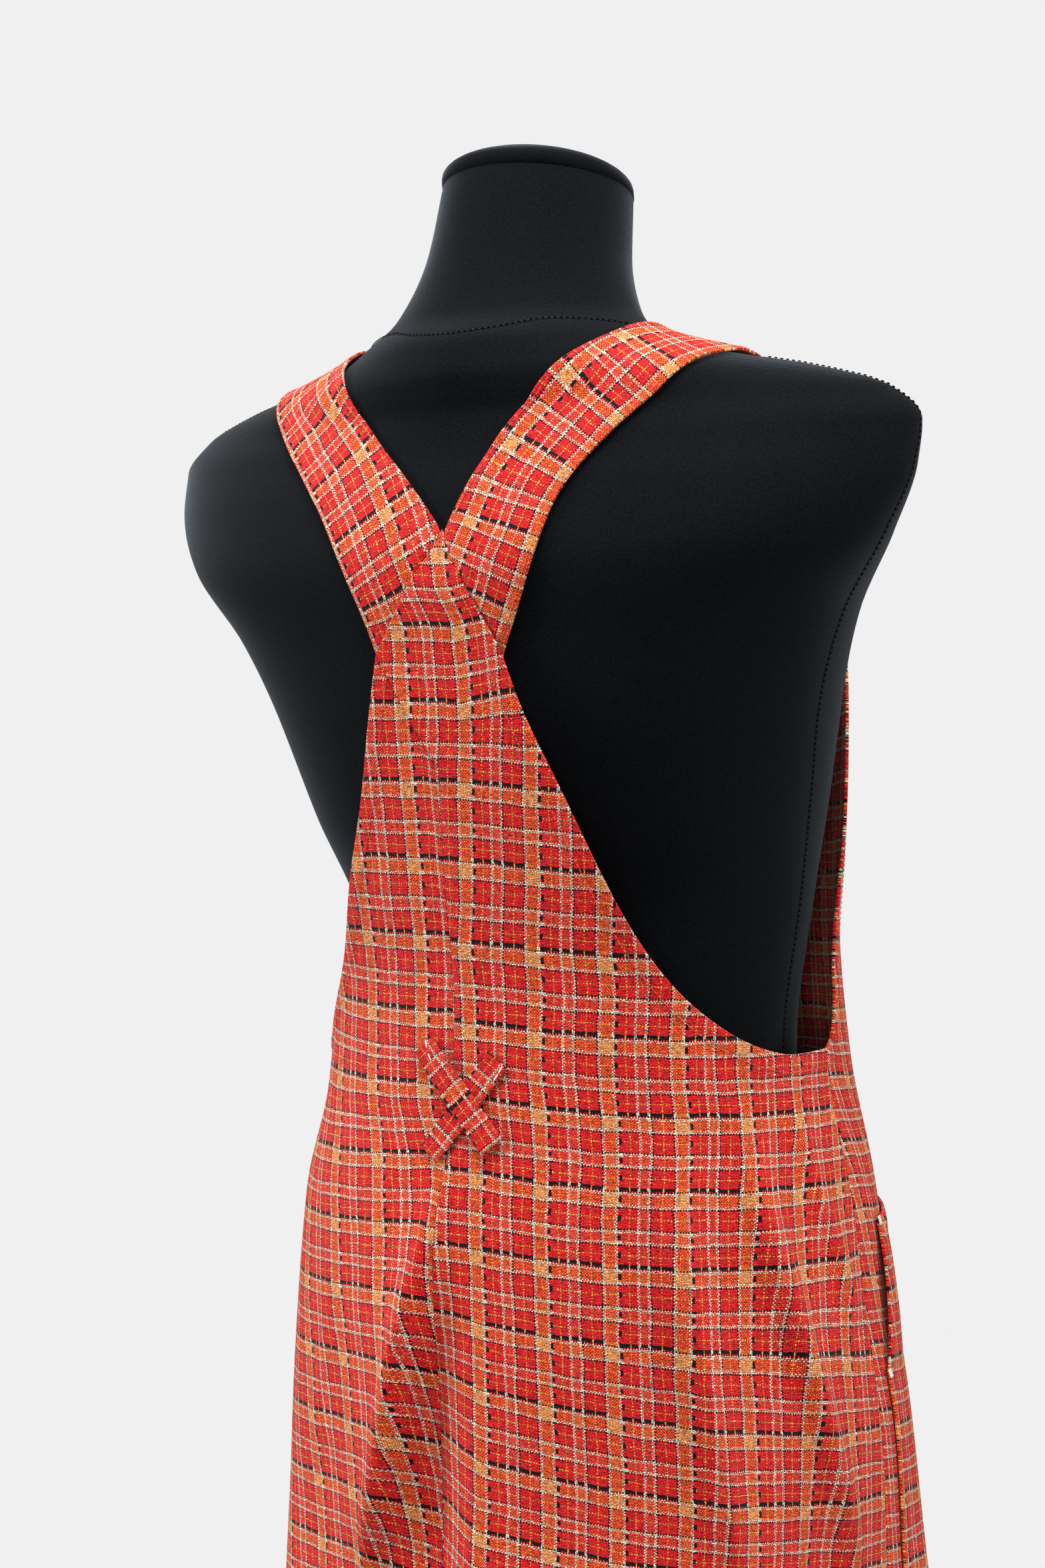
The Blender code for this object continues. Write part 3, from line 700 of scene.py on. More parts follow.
def on_form(x, angle):
    """Places on the form where rays leave the line across the shoulders at the given angles."""
    x, angle = np.asarray(x, float), np.asarray(angle, float)
    near, far = np.zeros_like(x), np.full_like(x, 0.3)
    for _ in range(40):
        middle = (near + far) / 2
        y = middle * np.cos(angle)
        z = STRAP_AXIS_Z + middle * np.sin(angle)
        half, centre, back, front, power = np.moveaxis(through_rows(FORM, z), -1, 0)
        depth = np.where(y > centre, back, front)
        inside = np.abs(x / half) ** power + np.abs((y - centre) / depth) ** power < 1
        near = np.where(inside, middle, near)
        far = np.where(inside, far, middle)
    return np.stack([x, near * np.cos(angle), STRAP_AXIS_Z + near * np.sin(angle)], axis=-1)


def front_angle(x, z):
    """The angle of the place on the form's front at a given x and height, in degrees."""
    half, middle, _, front, power = through_rows(FORM, z)
    y = middle - front * (1 - (x / half) ** power) ** (1 / power)
    return math.degrees(math.atan2(z - STRAP_AXIS_Z, y)) % 360


def make_strap(name, sign):
    """A strap from the wedge over the shoulder down to the bib, folded double and stitched along."""
    inner_x, outer_x = STRAP_FOOT_X
    foot_z = BIB_TOP_Z + SEAM_GAP
    foot = (front_angle(inner_x, foot_z), inner_x, front_angle(outer_x, foot_z), outer_x)
    table = STRAP_BACK[name.split("_")[1]] + STRAP_FRONT + [(*foot, STRAP_FOOT_LIFT, STRAP_FOOT_LIFT)]
    along_share = spread(STRAP_LENGTH, STRAP_STEP)
    across_share = spread(STRAP_WIDTH, STRAP_STEP)
    rows = through_rows([(i, *row) for i, row in enumerate(table)], (len(table) - 1) * along_share)
    share = across_share[None, :]

    def between(inner_column, outer_column):
        return rows[:, [inner_column]] * (1 - share) + rows[:, [outer_column]] * share

    angle = np.radians(between(0, 2))
    x = -sign * between(1, 3)
    lift = STRAP_LIFT + between(4, 5)
    small = 0.01
    along = on_form(x, angle + small) - on_form(x, angle - small)
    over = on_form(x + small / 4, angle) - on_form(x - small / 4, angle)
    normal = np.cross(along, over)
    normal /= np.linalg.norm(normal, axis=-1, keepdims=True)
    seat = on_form(x, angle)
    width = np.linalg.norm(seat[:, -1] - seat[:, 0], axis=-1)[:, None] * share
    far = np.minimum(width, width[:, -1:] - width)
    full = edge_profile(x.shape)
    thick = STRAP_CLOTH - 0.0004 * hump(far - STRAP_STITCH, 0.0008)
    thick *= 0.36 + 0.64 * ease_in((len(table) - 1) * along_share)[:, None]
    inner = seat + normal * (lift + thick * (1 - full) / 2)[..., None]
    outer = seat + normal * (lift + thick * (1 + full) / 2)[..., None]
    crosswise, lengthwise = nearest_on(seat.reshape(-1, 3), seat[:, -1])
    weave = np.stack([0.002 - crosswise * sign, lengthwise + 0.010], axis=-1).reshape(*x.shape, 2)
    if sign < 0:
        inner, outer, weave = inner[:, ::-1], outer[:, ::-1], weave[:, ::-1]
    face = seat + normal * (lift + STRAP_CLOTH)[..., None]
    k = int(np.searchsorted(across_share * STRAP_WIDTH, STRAP_STITCH))
    lines = [(face[:, k], normal[:, k]), (face[:, -1 - k], normal[:, -1 - k])]
    return wall(name + "_cloth", inner, outer, weave), lines


def make_tab_strip(name, start, end, lift):
    """One short strip of the crossed tab."""
    start, end = np.array(start), np.array(end)
    length = np.linalg.norm(end - start)
    along = (end - start) / length
    sideways = np.array([-along[1], along[0]]) * TAB_WIDTH / 2
    v = spread(length, 0.0016)[:, None, None]
    u = (spread(TAB_WIDTH, 0.0014) * 2 - 1)[None, :, None]
    bow = 1 - 0.05 * np.cos(math.pi * 2 * v)
    grid = start + (end - start) * v + sideways * u * bow

    def weave(flat):
        away = flat - start
        return np.column_stack([away @ sideways / (TAB_WIDTH / 2) + 0.012, away @ along + 0.006])

    return cloth_piece(name + "_cloth", grid, weave, CLOTH + SEAM_GAP + lift, TAB_CLOTH)


def make_pocket(name, sign):
    """A hip pocket with a slanting mouth, which stands off the front along the mouth."""
    top_front, mouth_top, mouth_foot, bottom_side, bottom_front = [np.array(p) for p in POCKET]
    side = np.array([bottom_side, mouth_foot, mouth_top])
    front = np.array([bottom_front, top_front])
    v = spread(line_length(side), PANEL_STEP)
    u = spread(line_length([bottom_front, bottom_side]), PANEL_STEP)
    bottom, top = sharp_line([bottom_front, bottom_side], u), sharp_line([top_front, mouth_top], u)
    grid = blend(sharp_line(front, v), sharp_line(side, v), bottom, top, u, v)
    foot_share = line_length(side[:2]) / line_length(side)
    mouth = np.clip((v[:, None] - foot_share) / (1 - foot_share), 0, 1)
    bulge = ease_in(1.6 * u[None, :] - 0.6) * np.sin(math.pi * mouth) ** 0.8
    lift = CLOTH + SEAM_GAP + POCKET_SEAT + POCKET_STAND_OFF * bulge
    grid = from_front(grid.reshape(-1, 2) * (sign, 1)).reshape(grid.shape)
    outline = from_front(np.array(POCKET + POCKET[:1]) * (sign, 1))
    if sign > 0:
        grid, lift = grid[:, ::-1], lift[:, ::-1]

    def weave(places):
        return front_weave(places) + (0.011, 0.009)

    return cloth_piece(name + "_cloth", grid, weave, lift, turned=[outline])


def math_node(operation, turned=False):
    """A method that adds a Math node. Turned puts the value itself last."""
    def method(value, *others):
        sides = (*others, value) if turned else (value, *others)
        return value.finish.node("ShaderNodeMath", {"operation": operation}, *sides)

    return method


class Value:
    """A number or colour that varies over a surface. Arithmetic on numbers adds Math nodes."""

    def __init__(self, finish, socket):
        self.finish, self.socket = finish, socket

    __add__, __radd__ = math_node("ADD"), math_node("ADD", True)
    __mul__, __rmul__ = math_node("MULTIPLY"), math_node("MULTIPLY", True)
    __sub__, __truediv__ = math_node("SUBTRACT"), math_node("DIVIDE")
    part, whole = math_node("FRACT"), math_node("FLOOR")
    sine, size = math_node("SINE"), math_node("ABSOLUTE")


def socket_name(key):
    """A shader socket's name from an argument's name."""
    return key.replace("_", " ").title().replace("Ior", "IOR")


class Finish:
    """A material in the making, with one method for every kind of node."""

    def __init__(self, name, **constants):
        self.material = bpy.data.materials.new(name)
        self.material.use_nodes = True
        self.tree = self.material.node_tree
        self.shader = self.tree.nodes["Principled BSDF"]
        for key, value in constants.items():
            self.shader.inputs[socket_name(key)].default_value = value

    def node(self, kind, settings=None, *values, out=0, **named):
        made = self.tree.nodes.new(kind)
        for key, value in (settings or {}).items():
            setattr(made, key, value)
        pairs = list(enumerate(values)) + [(key.replace("_", " "), value) for key, value in named.items()]
        for key, value in pairs:
            if isinstance(value, Value):
                self.tree.links.new(value.socket, made.inputs[key])
            elif value is not None:
                made.inputs[key].default_value = value
        return Value(self, made.outputs[out])

    def steps(self, place, stops):
        """A ramp without blending: stops are pairs of a start and a grey value or a colour."""
        ramp = self.node("ShaderNodeValToRGB", None, place)
        band = ramp.socket.node.color_ramp
        band.interpolation = "CONSTANT"
        while len(band.elements) > 1:
            band.elements.remove(band.elements[0])
        for k, (start, value) in enumerate(stops):
            element = band.elements[0] if k == 0 else band.elements.new(start)
            element.position = start
            element.color = (*value, 1) if hasattr(value, "__len__") else (value, value, value, 1)
        return ramp

    def mix(self, factor, first, second, how="MIX"):
        mixed = self.node("ShaderNodeMix", {"data_type": "RGBA", "blend_type": how}, out=2)
        node = mixed.socket.node
        for key, value in ((0, factor), (6, first), (7, second)):
            if isinstance(value, Value):
                self.tree.links.new(value.socket, node.inputs[key])
            elif key == 0:
                node.inputs[key].default_value = value
            else:
                node.inputs[key].default_value = (*value, 1.0)
        return mixed

    def feed(self, **sockets):
        for key, value in sockets.items():
            self.tree.links.new(value.socket, self.shader.inputs[socket_name(key)])

    def bump(self, height, distance_m, strength):
        relief = self.node("ShaderNodeBump", None, Height=height, Distance=distance_m, Strength=strength)
        self.feed(normal=relief)


def noise(finish, place, scale, detail, dimensions="3D", out=0):
    return finish.node("ShaderNodeTexNoise", {"noise_dimensions": dimensions}, Vector=place, Scale=scale,
                       Detail=detail, out=out)


def first_two(finish, vector):
    """The first two parts of a vector or a colour."""
    split = finish.node("ShaderNodeSeparateXYZ", None, vector)
    return split, Value(finish, split.socket.node.outputs[1])


def object_place(finish):
    """Object coordinates, in metres."""
    return finish.node("ShaderNodeTexCoord", None, out=3)


def chart(threads, pick):
    """Ramp stops of one repeat, from a list of yarns and thread counts."""
    stops, at = [], 0
    for yarn, count in threads:
        stops.append((at / THREADS, pick(yarn, count)))
        at += count
    return stops


def checked_cloth():
    """Plain-woven checked cotton. The broad black warp threads float in short dashes. Painted shade darkens
    the gaps between the threads.
    """
    cloth = Finish("checked_cotton", roughness=0.90, sheen_weight=0.09, sheen_roughness=0.4,
                   sheen_tint=(1.0, 0.80, 0.76, 1.0), specular_ior_level=0.10)
    place = cloth.node("ShaderNodeUVMap", {"uv_map": "weave"})
    across, up = first_two(cloth, place)
    drift, drift_up = first_two(cloth, noise(cloth, place, 55.0, 1.0, "2D", 1))
    stray, stray_up = first_two(cloth, noise(cloth, place, 900.0, 2.0, "2D", 1))
    across = across + (drift - 0.5) * DRIFT + (stray - 0.5) * STRAY
    up = up + (drift_up - 0.5) * DRIFT + (stray_up - 0.5) * STRAY
    warp_at = (across / CHECK + (WARP_START + 20)).part()
    weft_at = (up / CHECK + (WEFT_START + 40)).part()
    warp_thread = warp_at * THREADS
    weft_thread = weft_at * THREADS
    warp = cloth.steps(warp_at, chart(WARP, lambda yarn, count: YARN[yarn]))
    weft = cloth.steps(weft_at, chart(WEFT, lambda yarn, count: YARN[yarn]))
    plain = ((warp_thread.whole() + weft_thread.whole()) * 0.5).part() * 2
    broad_warp = cloth.steps(warp_at, chart(WARP, lambda yarn, count: float(yarn == "black" and count > 1)))
    broad_weft = cloth.steps(weft_at, [(0.0, 0.0), ((THREADS - 2.1) / THREADS, 1.0)])
    covering = cloth.steps(warp_at, chart(WARP, lambda yarn, count: float(yarn in COVERING)))
    dash_stops = [(0.0, 0.0)]
    for middle, half in ((5.5, 1.9), (16.5, 1.6), (28.5, 1.9), (40.0, 2.1)):
        dash_stops += [((middle - half) / THREADS, 1.0), ((middle + half) / THREADS, 0.0)]
    dash = cloth.steps(weft_at, dash_stops)
    over = plain + broad_warp * (dash - plain)
    over = over + broad_weft * (covering - over)
    colour = cloth.mix(over, weft, warp)
    orange_warp = cloth.steps(warp_at, chart(WARP, lambda yarn, count: float(yarn == "orange")))
    orange_weft = cloth.steps(weft_at, chart(WEFT, lambda yarn, count: float(yarn == "orange")))
    colour = cloth.mix(orange_warp * orange_weft * 0.75, colour, PALE_ORANGE)
    yarn_at = cloth.node("ShaderNodeCombineXYZ", None, across * (0.35 * THREADS / CHECK),
                         up * (THREADS / CHECK))
    uneven = noise(cloth, yarn_at, 0.9, 1.0, "2D")
    warp_round = (warp_thread * math.pi).sine().size()
    weft_round = (weft_thread * math.pi).sine().size()
    height = (warp_round * weft_round + 0.4 * (weft_round + over * (warp_round - weft_round))) / 1.4
    # Painted shade and light: the colour is darkened where the thread relief is low, in the gaps and dips
    # between crossings, and lightened on the threads' crowns. The yarns' own brightness also varies at
    # random.
    shade = (0.02 + 1.18 * height) * (0.10 + 1.90 * uneven)
    colour = cloth.mix(1.0, colour, cloth.node("ShaderNodeCombineXYZ", None, shade, shade, shade), "MULTIPLY")
    cloth.feed(base_color=colour)
    cloth.bump(height, 0.0004, 0.8)
    return cloth.material


def black_jersey():
    """Fine black jersey with a soft, cool sheen and a faint knit."""
    jersey = Finish("form_jersey", roughness=0.80, sheen_weight=0.17, sheen_roughness=0.34,
                    sheen_tint=(0.80, 0.90, 1.0, 1.0), specular_ior_level=0.02)
    place = object_place(jersey)
    broad = noise(jersey, place, 9.0, 2.0)
    fine = noise(jersey, place, 1500.0, 1.0)
    grain = (fine - 0.5) * 2.6 + 0.5
    colour = jersey.mix(broad * 0.4 + grain * 0.6, (0.0004, 0.0005, 0.0007), (0.0060, 0.0068, 0.0082))
    jersey.feed(base_color=colour)
    courses = jersey.node("ShaderNodeTexWave", {"bands_direction": "Z"}, Vector=place, Scale=420.0,
                          Distortion=2.0, Detail=1.0, Detail_Scale=6.0)
    jersey.bump(courses * 0.3 + fine * 0.7, 0.0003, 0.6)
    return jersey.material


def satin_paint():
    """Dark satin paint with a fine grain and faint smears."""
    paint = Finish("stand_metal", metallic=0.55, roughness=0.38)
    place = object_place(paint)
    grain = noise(paint, place, 260.0, 3.0)
    smear = noise(paint, place, 14.0, 3.0)
    paint.feed(base_color=paint.mix(smear, (0.040, 0.041, 0.045), (0.056, 0.057, 0.062)))
    paint.feed(roughness=0.32 + 0.14 * smear)
    paint.bump(grain, 0.0001, 0.25)
    return paint.material


def thread(name, colour, sheen=0.2, specular=0.5):
    spun = Finish(name, roughness=0.7, sheen_weight=sheen, specular_ior_level=specular)
    twist = noise(spun, object_place(spun), 1500.0, 1.0)
    spun.feed(base_color=spun.mix(twist, tuple(0.75 * c for c in colour), colour))
    return spun.material


CHECKED = checked_cloth()
JERSEY = black_jersey()
PAINT = satin_paint()
SEWING = thread("red_sewing_thread", (0.62, 0.075, 0.030))
BAR_TACK = thread("cream_bar_tack_thread", (0.80, 0.72, 0.58))
BLACK_THREAD = thread("black_sewing_thread", (0.003, 0.003, 0.004), 0.0, 0.05)


# A stitch's rings: the place along it from -1 to 1, and how wide it is there.
STITCH_RINGS = ((-1.0, 0.35), (-0.55, 1.0), (0.55, 1.0), (1.0, 0.35))
STITCH_ARCH = 0.00012        # how far a stitch's ends sink in


def stitches(name, runs, material, pitch=0.0030, length=0.0022, radius=0.00022, sink=0.00005):
    """Short rounded stitches along lines of places with their ways out."""
    points, faces = [], []
    ring = np.linspace(0, 2 * math.pi, 6, endpoint=False)
    for places, outs in runs:
        way = way_along(places)
        middles = np.arange(pitch / 2, way[-1] - pitch / 2, pitch)
        for middle in middles:
            near = [middle - length / 2, middle, middle + length / 2]
            start, centre, end = np.array([np.interp(near, way, places[:, k]) for k in range(3)]).T
            out = np.array([np.interp(middle, way, outs[:, k]) for k in range(3)])
            out /= np.linalg.norm(out)
            along = (end - start) / np.linalg.norm(end - start)
            side = np.cross(along, out)
            base = len(points)
            for t, wide in STITCH_RINGS:
                middle_place = centre + along * t * length / 2 + out * (radius - sink - STITCH_ARCH * t * t)
                for a in ring:
                    points.append(middle_place + (side * math.cos(a) + out * math.sin(a)) * radius * wide)
            for level in range(3):
                for k in range(6):
                    a, b = base + level * 6 + k, base + level * 6 + (k + 1) % 6
                    faces.append([a, a + 6, b + 6, b])
            faces.append([base + k for k in range(6)])
            faces.append([base + 18 + k for k in range(5, -1, -1)])
    return mesh_object(name, points, faces, material)


def stitch_line(line, lift):
    """Places and ways out along a line of s and z on the drape."""
    line = resample(line, np.linspace(0, 1, 160))
    return drape(line[:, 0], line[:, 1], np.full(len(line), lift))


def inset(line, away, inside):
    """A line moved sideways by a distance, towards the side where the given point lies."""
    line = resample(line, np.linspace(0, 1, 120))
    along = np.gradient(line, axis=0)
    along /= np.linalg.norm(along, axis=1, keepdims=True)
    side = np.column_stack([-along[:, 1], along[:, 0]])
    if ((np.array(inside) - line.mean(axis=0)) @ side.mean(axis=0)) < 0:
        side = -side
    return line + side * away


def tilted_ring(row, z, tilt, scale=1.0, steps=144):
    """A ring of places round a section, at a height and tilted to the front or back."""
    angle = np.linspace(0, 2 * math.pi, steps, endpoint=False)
    x, y = section(np.array(row)[None], angle)
    middle = row[1]
    x, y = x * scale, middle + (y - middle) * scale
    return np.column_stack([x, y, z + (y - middle) * tilt])


def stack_rings(name, rings, material):
    """A closed body from rings of points, bottom to top, with flat fans at both ends."""
    count = len(rings[0])
    points = np.concatenate(rings + [rings[0].mean(axis=0)[None], rings[-1].mean(axis=0)[None]])
    low, high = len(rings) * count, len(rings) * count + 1
    faces = []
    for level in range(len(rings) - 1):
        for k in range(count):
            a, b = level * count + k, level * count + (k + 1) % count
            faces.append([a, a + count, b + count, b])
    for k in range(count):
        faces.append([low, k, (k + 1) % count])
        top = (len(rings) - 1) * count
        faces.append([high, top + (k + 1) % count, top + k])
    return mesh_object(name, points, faces, material, 60)


def form_row(z):
    return through_rows(FORM, z)


def form_tilt(z):
    return NECK_TILT * float(ease_in((z - NECK_FOOT_Z) / (NECK_TOP_Z - NECK_FOOT_Z)))


def form_place(angle, z):
    """A place on the form at an angle from the centre back and a height, and the way out there."""
    def at(a, h):
        row = form_row(h)
        x, y = section(row[None], np.array([a]))
        return np.array([x[0], y[0], h + (y[0] - row[1]) * form_tilt(h)])

    place = at(angle, z)
    out = np.cross(at(angle + 0.02, z) - at(angle - 0.02, z), at(angle, z + 0.002) - at(angle, z - 0.002))
    return place, out / np.linalg.norm(out)


def make_form():
    heights = np.concatenate([
        np.linspace(FORM_BOTTOM_Z, 1.300, 90),
        np.linspace(1.304, NECK_FOOT_Z, 48),
        np.linspace(1.433, NECK_TOP_Z, 26),
    ])
    rings = [tilted_ring(form_row(FORM_BOTTOM_Z), FORM_BOTTOM_Z, 0, 0.985)]
    for z in heights:
        lifted = z + FORM_EDGE if z == FORM_BOTTOM_Z else z
        rings.append(tilted_ring(form_row(z), lifted, form_tilt(z)))
    return stack_rings("form_body_jersey", rings, JERSEY)


def make_cap():
    row = form_row(NECK_TOP_Z)
    foot = NECK_TOP_Z + SEAM_GAP
    edge = 1 + CAP_OVERHANG / row[0]
    rings = [tilted_ring(row, foot, NECK_TILT, edge * 0.988)]
    rings += [tilted_ring(row, foot + rise, NECK_TILT, edge) for rise in (0.0006, CAP_RIM)]
    for turn in np.radians(np.arange(8, 88, 6)):
        height = foot + CAP_RIM + (CAP_RISE - CAP_RIM) * math.sin(turn)
        rings.append(tilted_ring(row, height, NECK_TILT, edge * math.cos(turn)))
    return stack_rings("form_cap_jersey", rings, JERSEY)


def form_line(pairs):
    """Places and ways out along a line on the form, from pairs of an angle in degrees and a height."""
    found = [form_place(math.radians(a), z) for a, z in pairs]
    return np.array([f[0] for f in found]), np.array([f[1] for f in found])


def seam_cord(name, line, material, radius=0.0008, sink=0.0004, closed=False):
    """A narrow raised seam along a line on the form."""
    places, outs = line
    count = len(places)
    along = np.gradient(places, axis=0)
    if closed:
        along = np.roll(places, -1, axis=0) - np.roll(places, 1, axis=0)
    along /= np.linalg.norm(along, axis=1, keepdims=True)
    side = np.cross(along, outs)
    turns = np.linspace(0, 2 * math.pi, 8, endpoint=False)
    points = []
    for k in range(count):
        for a in turns:
            sideways = side[k] * math.cos(a) * radius * 1.3
            points.append(places[k] + sideways + outs[k] * (math.sin(a) * radius * 0.8 - sink))
    faces = []
    for k in range(count if closed else count - 1):
        for j in range(8):
            a, b = k * 8 + j, k * 8 + (j + 1) % 8
            c, d = ((k + 1) % count) * 8 + (j + 1) % 8, ((k + 1) % count) * 8 + j
            faces.append([a, d, c, b])
    if not closed:
        faces.append(list(range(8)))
        faces.append([(count - 1) * 8 + j for j in range(7, -1, -1)])
    return mesh_object(name, points, faces, material)


# The seam round the foot of the neck: angle from the centre back in degrees, z.
NECK_SEAM = [
    (-20, 1.4290),
    (0, 1.4275),
    (20, 1.4290),
    (40, 1.4320),
    (60, 1.4300),
    (90, 1.4230),
    (130, 1.4140),
    (180, 1.4080),
]


def neck_seam_height(angle):
    return float(through_rows(NECK_SEAM, abs(angle))[0])


def raise_rings(name, sides, rings):
    """A round painted body, raised from a disc ring by ring: pairs of a radius and a height."""
    radius, height = rings[0]
    bpy.ops.mesh.primitive_circle_add(vertices=sides, radius=radius, fill_type="NGON",
                                      location=(0, 0, height))
    thing = bpy.context.object
    thing.name = name
    bpy.ops.object.transform_apply(location=True, rotation=False, scale=False)
    bpy.ops.object.mode_set(mode="EDIT")
    bpy.ops.mesh.select_all(action="SELECT")
    for next_radius, next_height in rings[1:]:
        bpy.ops.mesh.extrude_region_move(TRANSFORM_OT_translate={"value": (0, 0, next_height - height)})
        share = next_radius / radius
        bpy.ops.transform.resize(value=(share, share, 1))
        radius, height = next_radius, next_height
    bpy.ops.mesh.select_all(action="SELECT")
    bpy.ops.mesh.normals_make_consistent(inside=False)
    bpy.ops.object.mode_set(mode="OBJECT")
    bpy.ops.object.shade_smooth_by_angle(angle=math.radians(35))
    thing.data.materials.append(PAINT)
    thing.select_set(False)
    return thing


def pole_base():
    """The stand's round base, up to the boss that holds the pole."""
    return raise_rings("stand_base_painted", 144, [
        (BASE_FOOT_RADIUS, 0.0),
        (0.1646, 0.0006),
        (0.1650, 0.0020),
        (0.1650, 0.0060),
        (0.1640, 0.0075),
        (0.1590, 0.0090),
        (0.1000, 0.0124),
        (0.0450, 0.0160),
        (0.0300, 0.0190),
        (0.0240, 0.0230),
        (0.0212, 0.0300),
        (0.0200, 0.0400),
        (0.0194, 0.0414),
        (0.0180, BOSS_TOP_Z),
    ])


def pole_tube():
    """The pole with the flange that carries the form."""
    top = FORM_BOTTOM_Z - SEAM_GAP
    flange_foot = top - FLANGE_HEIGHT
    return raise_rings("stand_pole_painted", 64, [
        (POLE_RADIUS, BOSS_TOP_Z + SEAM_GAP),
        (POLE_RADIUS, flange_foot - 0.004),
        (POLE_RADIUS + 0.004, flange_foot),
        (FLANGE_RADIUS - 0.001, flange_foot),
        (FLANGE_RADIUS, flange_foot + 0.001),
        (FLANGE_RADIUS, top - 0.001),
        (FLANGE_RADIUS - 0.001, top),
    ])


def settle(piece, slot, *nodes):
    """A finished piece rides on the one body and stands for its solids, which are hidden. The slot is not
    used.
    """
    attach(piece, "root")
    if nodes:
        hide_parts(*nodes)


def build_dress(form):
    back_right, armhole_right = make_back("back_right_cloth", 1)
    back_left, armhole_left = make_back("back_left_cloth", -1)
    front, rises = make_front()
    settle(back_right, "checked_cotton", "back_right")
    settle(back_left, "checked_cotton", "back_left")
    settle(front, "checked_cotton", "front")
    outside = CLOTH + TURNED_EXTRA
    from_edge = TURNED_IN - STITCH_INSET
    runs = []
    for armhole, sign in ((armhole_right, 1), (armhole_left, -1)):
        runs.append(stitch_line(inset(armhole, from_edge, (sign * 0.02, 1.0)), outside))
    for rise in rises:
        side = 1 if rise[0, 0] > 0 else -1
        runs.append(stitch_line(inset(rise, from_edge, (side * 0.50, 1.15)), outside))
    half_hem = half_girth(HEM_Z)[0]
    hem = [(s, HEM_Z + from_edge) for s in np.linspace(-half_hem, half_hem, 200)]
    runs.append(stitch_line(hem, outside))
    for name, sign in (("strap_right", 1), ("strap_left", -1)):
        strap, lines = make_strap(name, sign)
        settle(strap, "checked_cotton", name)
        runs += lines
    for name, start, end, lift in TAB_STRIPS:
        strip = make_tab_strip(name, start, end, lift)
        settle(strip, "checked_cotton", name)
    for name, sign in (("pocket_right", 1), ("pocket_left", -1)):
        pocket = make_pocket(name, sign)
        settle(pocket, "checked_cotton", name)
    topstitching = stitches("topstitching", runs, SEWING)
    settle(topstitching, "checked_cotton")
    tacks = []
    for sign in (1, -1):
        for away, height in (POCKET[1], POCKET[2]):
            for k in range(5):
                line = np.array([(away - 0.0035 + 0.0003 * k, height + 0.0010 * (k - 2)),
                                 (away + 0.0020 + 0.0003 * k, height + 0.0010 * (k - 2))]) * (sign, 1)
                tacks.append(stitch_line(from_front(line), 2 * CLOTH + 0.0012))
    settle(stitches("pocket_bar_tacks", tacks, BAR_TACK, 0.0052, 0.0050, 0.00045), "checked_cotton")
    knots = [
        [(-0.0230, 1.0590), (-0.0215, 1.0530)],
        [(-0.0210, 1.0520), (-0.0185, 1.0475)],
        [(0.0235, 1.0470), (0.0170, 1.0360)],
    ]
    knots = [stitch_line(np.array(line), CLOTH + 2 * TAB_CLOTH + 0.0008) for line in knots]
    settle(stitches("tab_tacking_threads", knots, BAR_TACK, 0.0049, 0.0046, 0.00045), "checked_cotton")


def build_form():
    form = make_form()
    settle(form, "form_jersey", "form_torso")
    settle(make_cap(), "form_jersey", "form_neck_cap")
    neck = form_line([(a, neck_seam_height(a)) for a in np.linspace(-180, 180, 180, endpoint=False)])
    settle(seam_cord("form_neck_seam", neck, JERSEY, closed=True), "form_jersey")
    dots = [neck]
    for name, side in (("form_side_seam_right", 1), ("form_side_seam_left", -1)):
        heights = np.linspace(FORM_BOTTOM_Z + 0.006, 1.404, 150)
        line = form_line([(side * 89, z) for z in heights])
        settle(seam_cord(name, line, JERSEY), "form_jersey")
        dots.append(line)
    dashes = stitches("form_seam_stitches", dots, BLACK_THREAD, 0.0032, 0.0018, 0.00040, -0.0003)
    settle(dashes, "form_jersey")
    return form


def build_stand():
    settle(pole_base(), "stand_metal", "stand_base")
    settle(pole_tube(), "stand_metal", "stand_pole")


AMBIENT = 0.36               # how much of the backdrop's brightness falls on the dress


def soft_light(name, place, aim, size, power):
    data = bpy.data.lights.new(name, "AREA")
    data.shape = "DISK"
    data.size = size
    data.energy = power
    lamp = bpy.data.objects.new(name, data)
    bpy.context.scene.collection.objects.link(lamp)
    lamp.location = place
    lamp.rotation_euler = (Vector(aim) - Vector(place)).to_track_quat("-Z", "Y").to_euler()


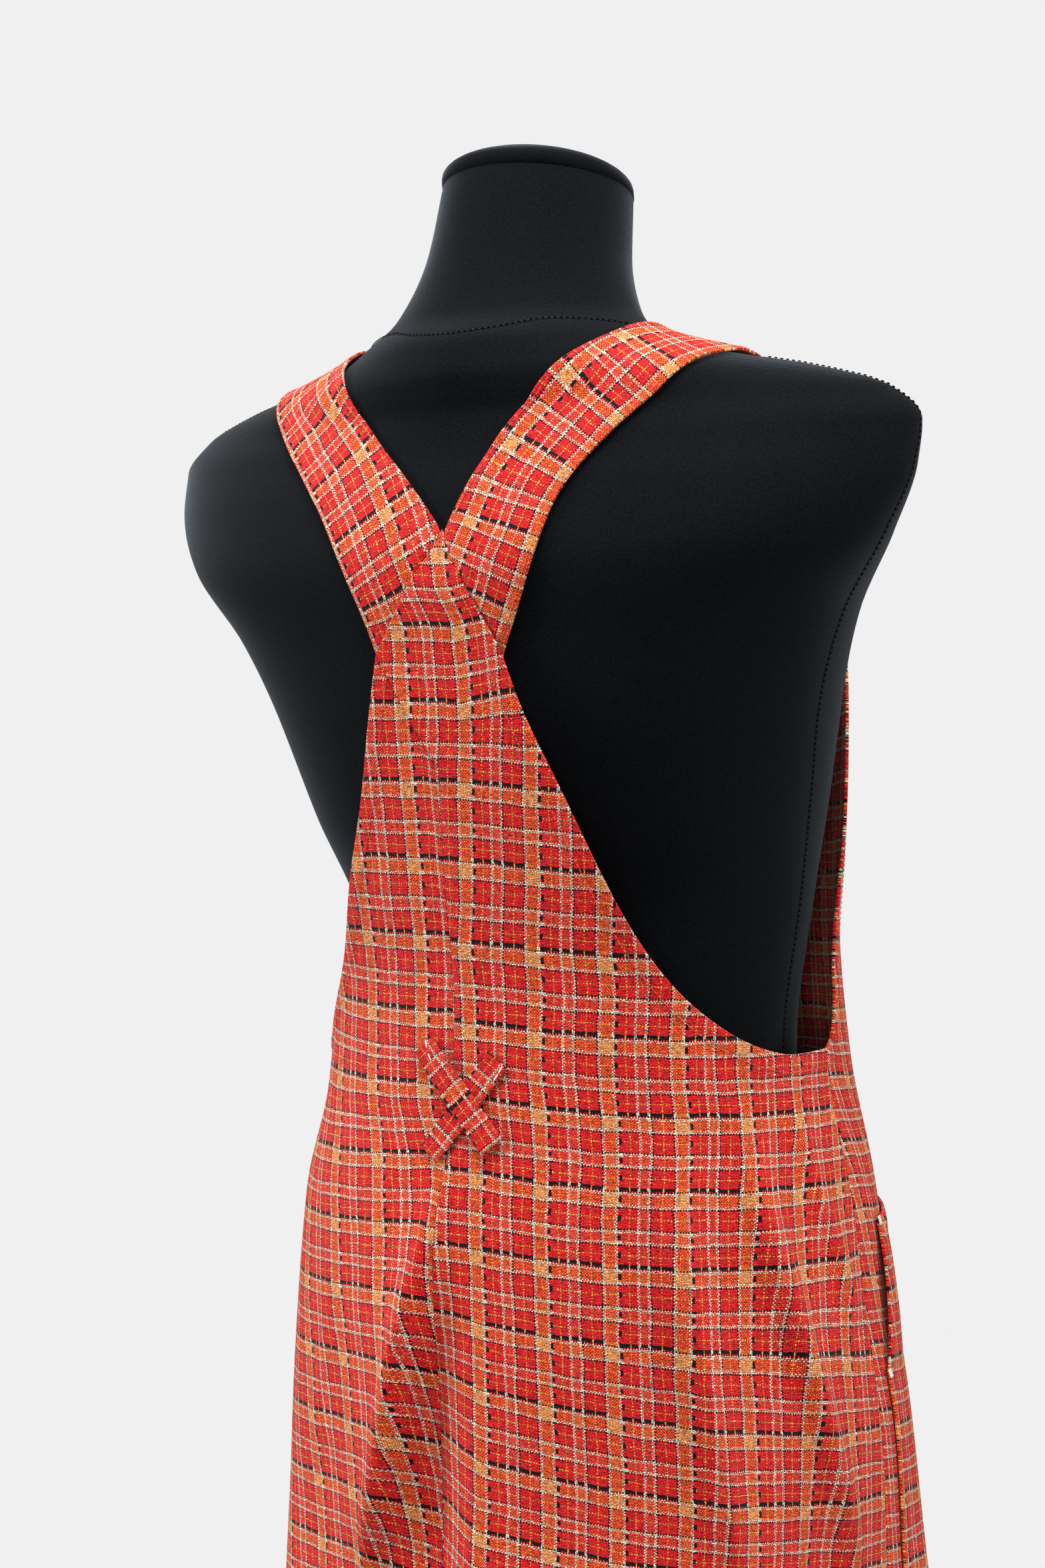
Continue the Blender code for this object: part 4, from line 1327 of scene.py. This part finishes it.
def build_studio():
    """A pale backdrop, soft round lights, and a floor that fades out into the backdrop."""
    world = bpy.data.worlds.new("pale_studio")
    bpy.context.scene.world = world
    world.use_nodes = True
    background = world.node_tree.nodes["Background"]
    background.inputs["Color"].default_value = (0.871, 0.871, 0.871, 1)
    background.inputs["Strength"].default_value = 1.0
    shade = world.node_tree.nodes.new("ShaderNodeLightPath")
    dim = world.node_tree.nodes.new("ShaderNodeMapRange")
    dim.inputs["To Min"].default_value = AMBIENT
    world.node_tree.links.new(shade.outputs["Is Camera Ray"], dim.inputs["Value"])
    world.node_tree.links.new(dim.outputs["Result"], background.inputs["Strength"])
    bpy.context.scene.view_settings.view_transform = "Standard"
    soft_light("key_from_the_left", (2.3, 1.5, 1.9), (0, 0, 1.1), 0.9, 76)
    soft_light("fill_from_the_right", (-1.1, 2.5, 1.35), (0, 0, 1.1), 0.9, 20)
    soft_light("softbox_above", (-0.3, 0.5, 3.1), (0, 0, 1.3), 1.3, 75)
    soft_light("rim_on_the_right", (-2.6, -0.5, 1.8), (0, 0, 1.2), 1.4, 62)
    soft_light("rim_on_the_left", (2.4, -0.8, 1.7), (0, 0, 1.2), 1.4, 10)

    floor_finish = Finish("pale_floor", roughness=0.9)
    place = object_place(floor_finish)
    speckle = noise(floor_finish, place, 40.0, 2.0)
    floor_finish.feed(base_color=floor_finish.mix(speckle, (0.40, 0.40, 0.40), (0.42, 0.42, 0.42)))
    away = floor_finish.node("ShaderNodeVectorMath", {"operation": "LENGTH"}, place, out=1)
    fade = floor_finish.node("ShaderNodeMapRange", {"interpolation_type": "SMOOTHSTEP"}, away,
                             0.45, 1.25, 1.0, 0.0)
    floor_finish.feed(alpha=fade)
    bpy.ops.mesh.primitive_circle_add(vertices=96, radius=1.3, fill_type="NGON", location=(0, 0, 0))
    floor = bpy.context.object
    floor.name = "pale_floor"
    floor.data.materials.append(floor_finish.material)
    floor.select_set(False)


def build_camera():
    """The photo's view: from behind the wearer's right shoulder, a little rolled."""
    data = bpy.data.cameras.new("photo_view")
    data.sensor_width = 36.0
    data.lens = 64.5
    camera = bpy.data.objects.new("photo_view", data)
    bpy.context.scene.collection.objects.link(camera)
    right = Vector((-0.86458, -0.49837, -0.06422))
    up = Vector((-0.00944, -0.11168, 0.99369))
    back = Vector((-0.50241, 0.85974, 0.09185))
    turn = Matrix((right, up, back)).transposed().to_4x4()
    camera.matrix_world = Matrix.Translation((-0.77011, 1.35627, 1.32600)) @ turn
    data.clip_start, data.clip_end = 0.05, 50
    bpy.context.scene.camera = camera


build_dress(build_form())
build_stand()
build_studio()
build_camera()
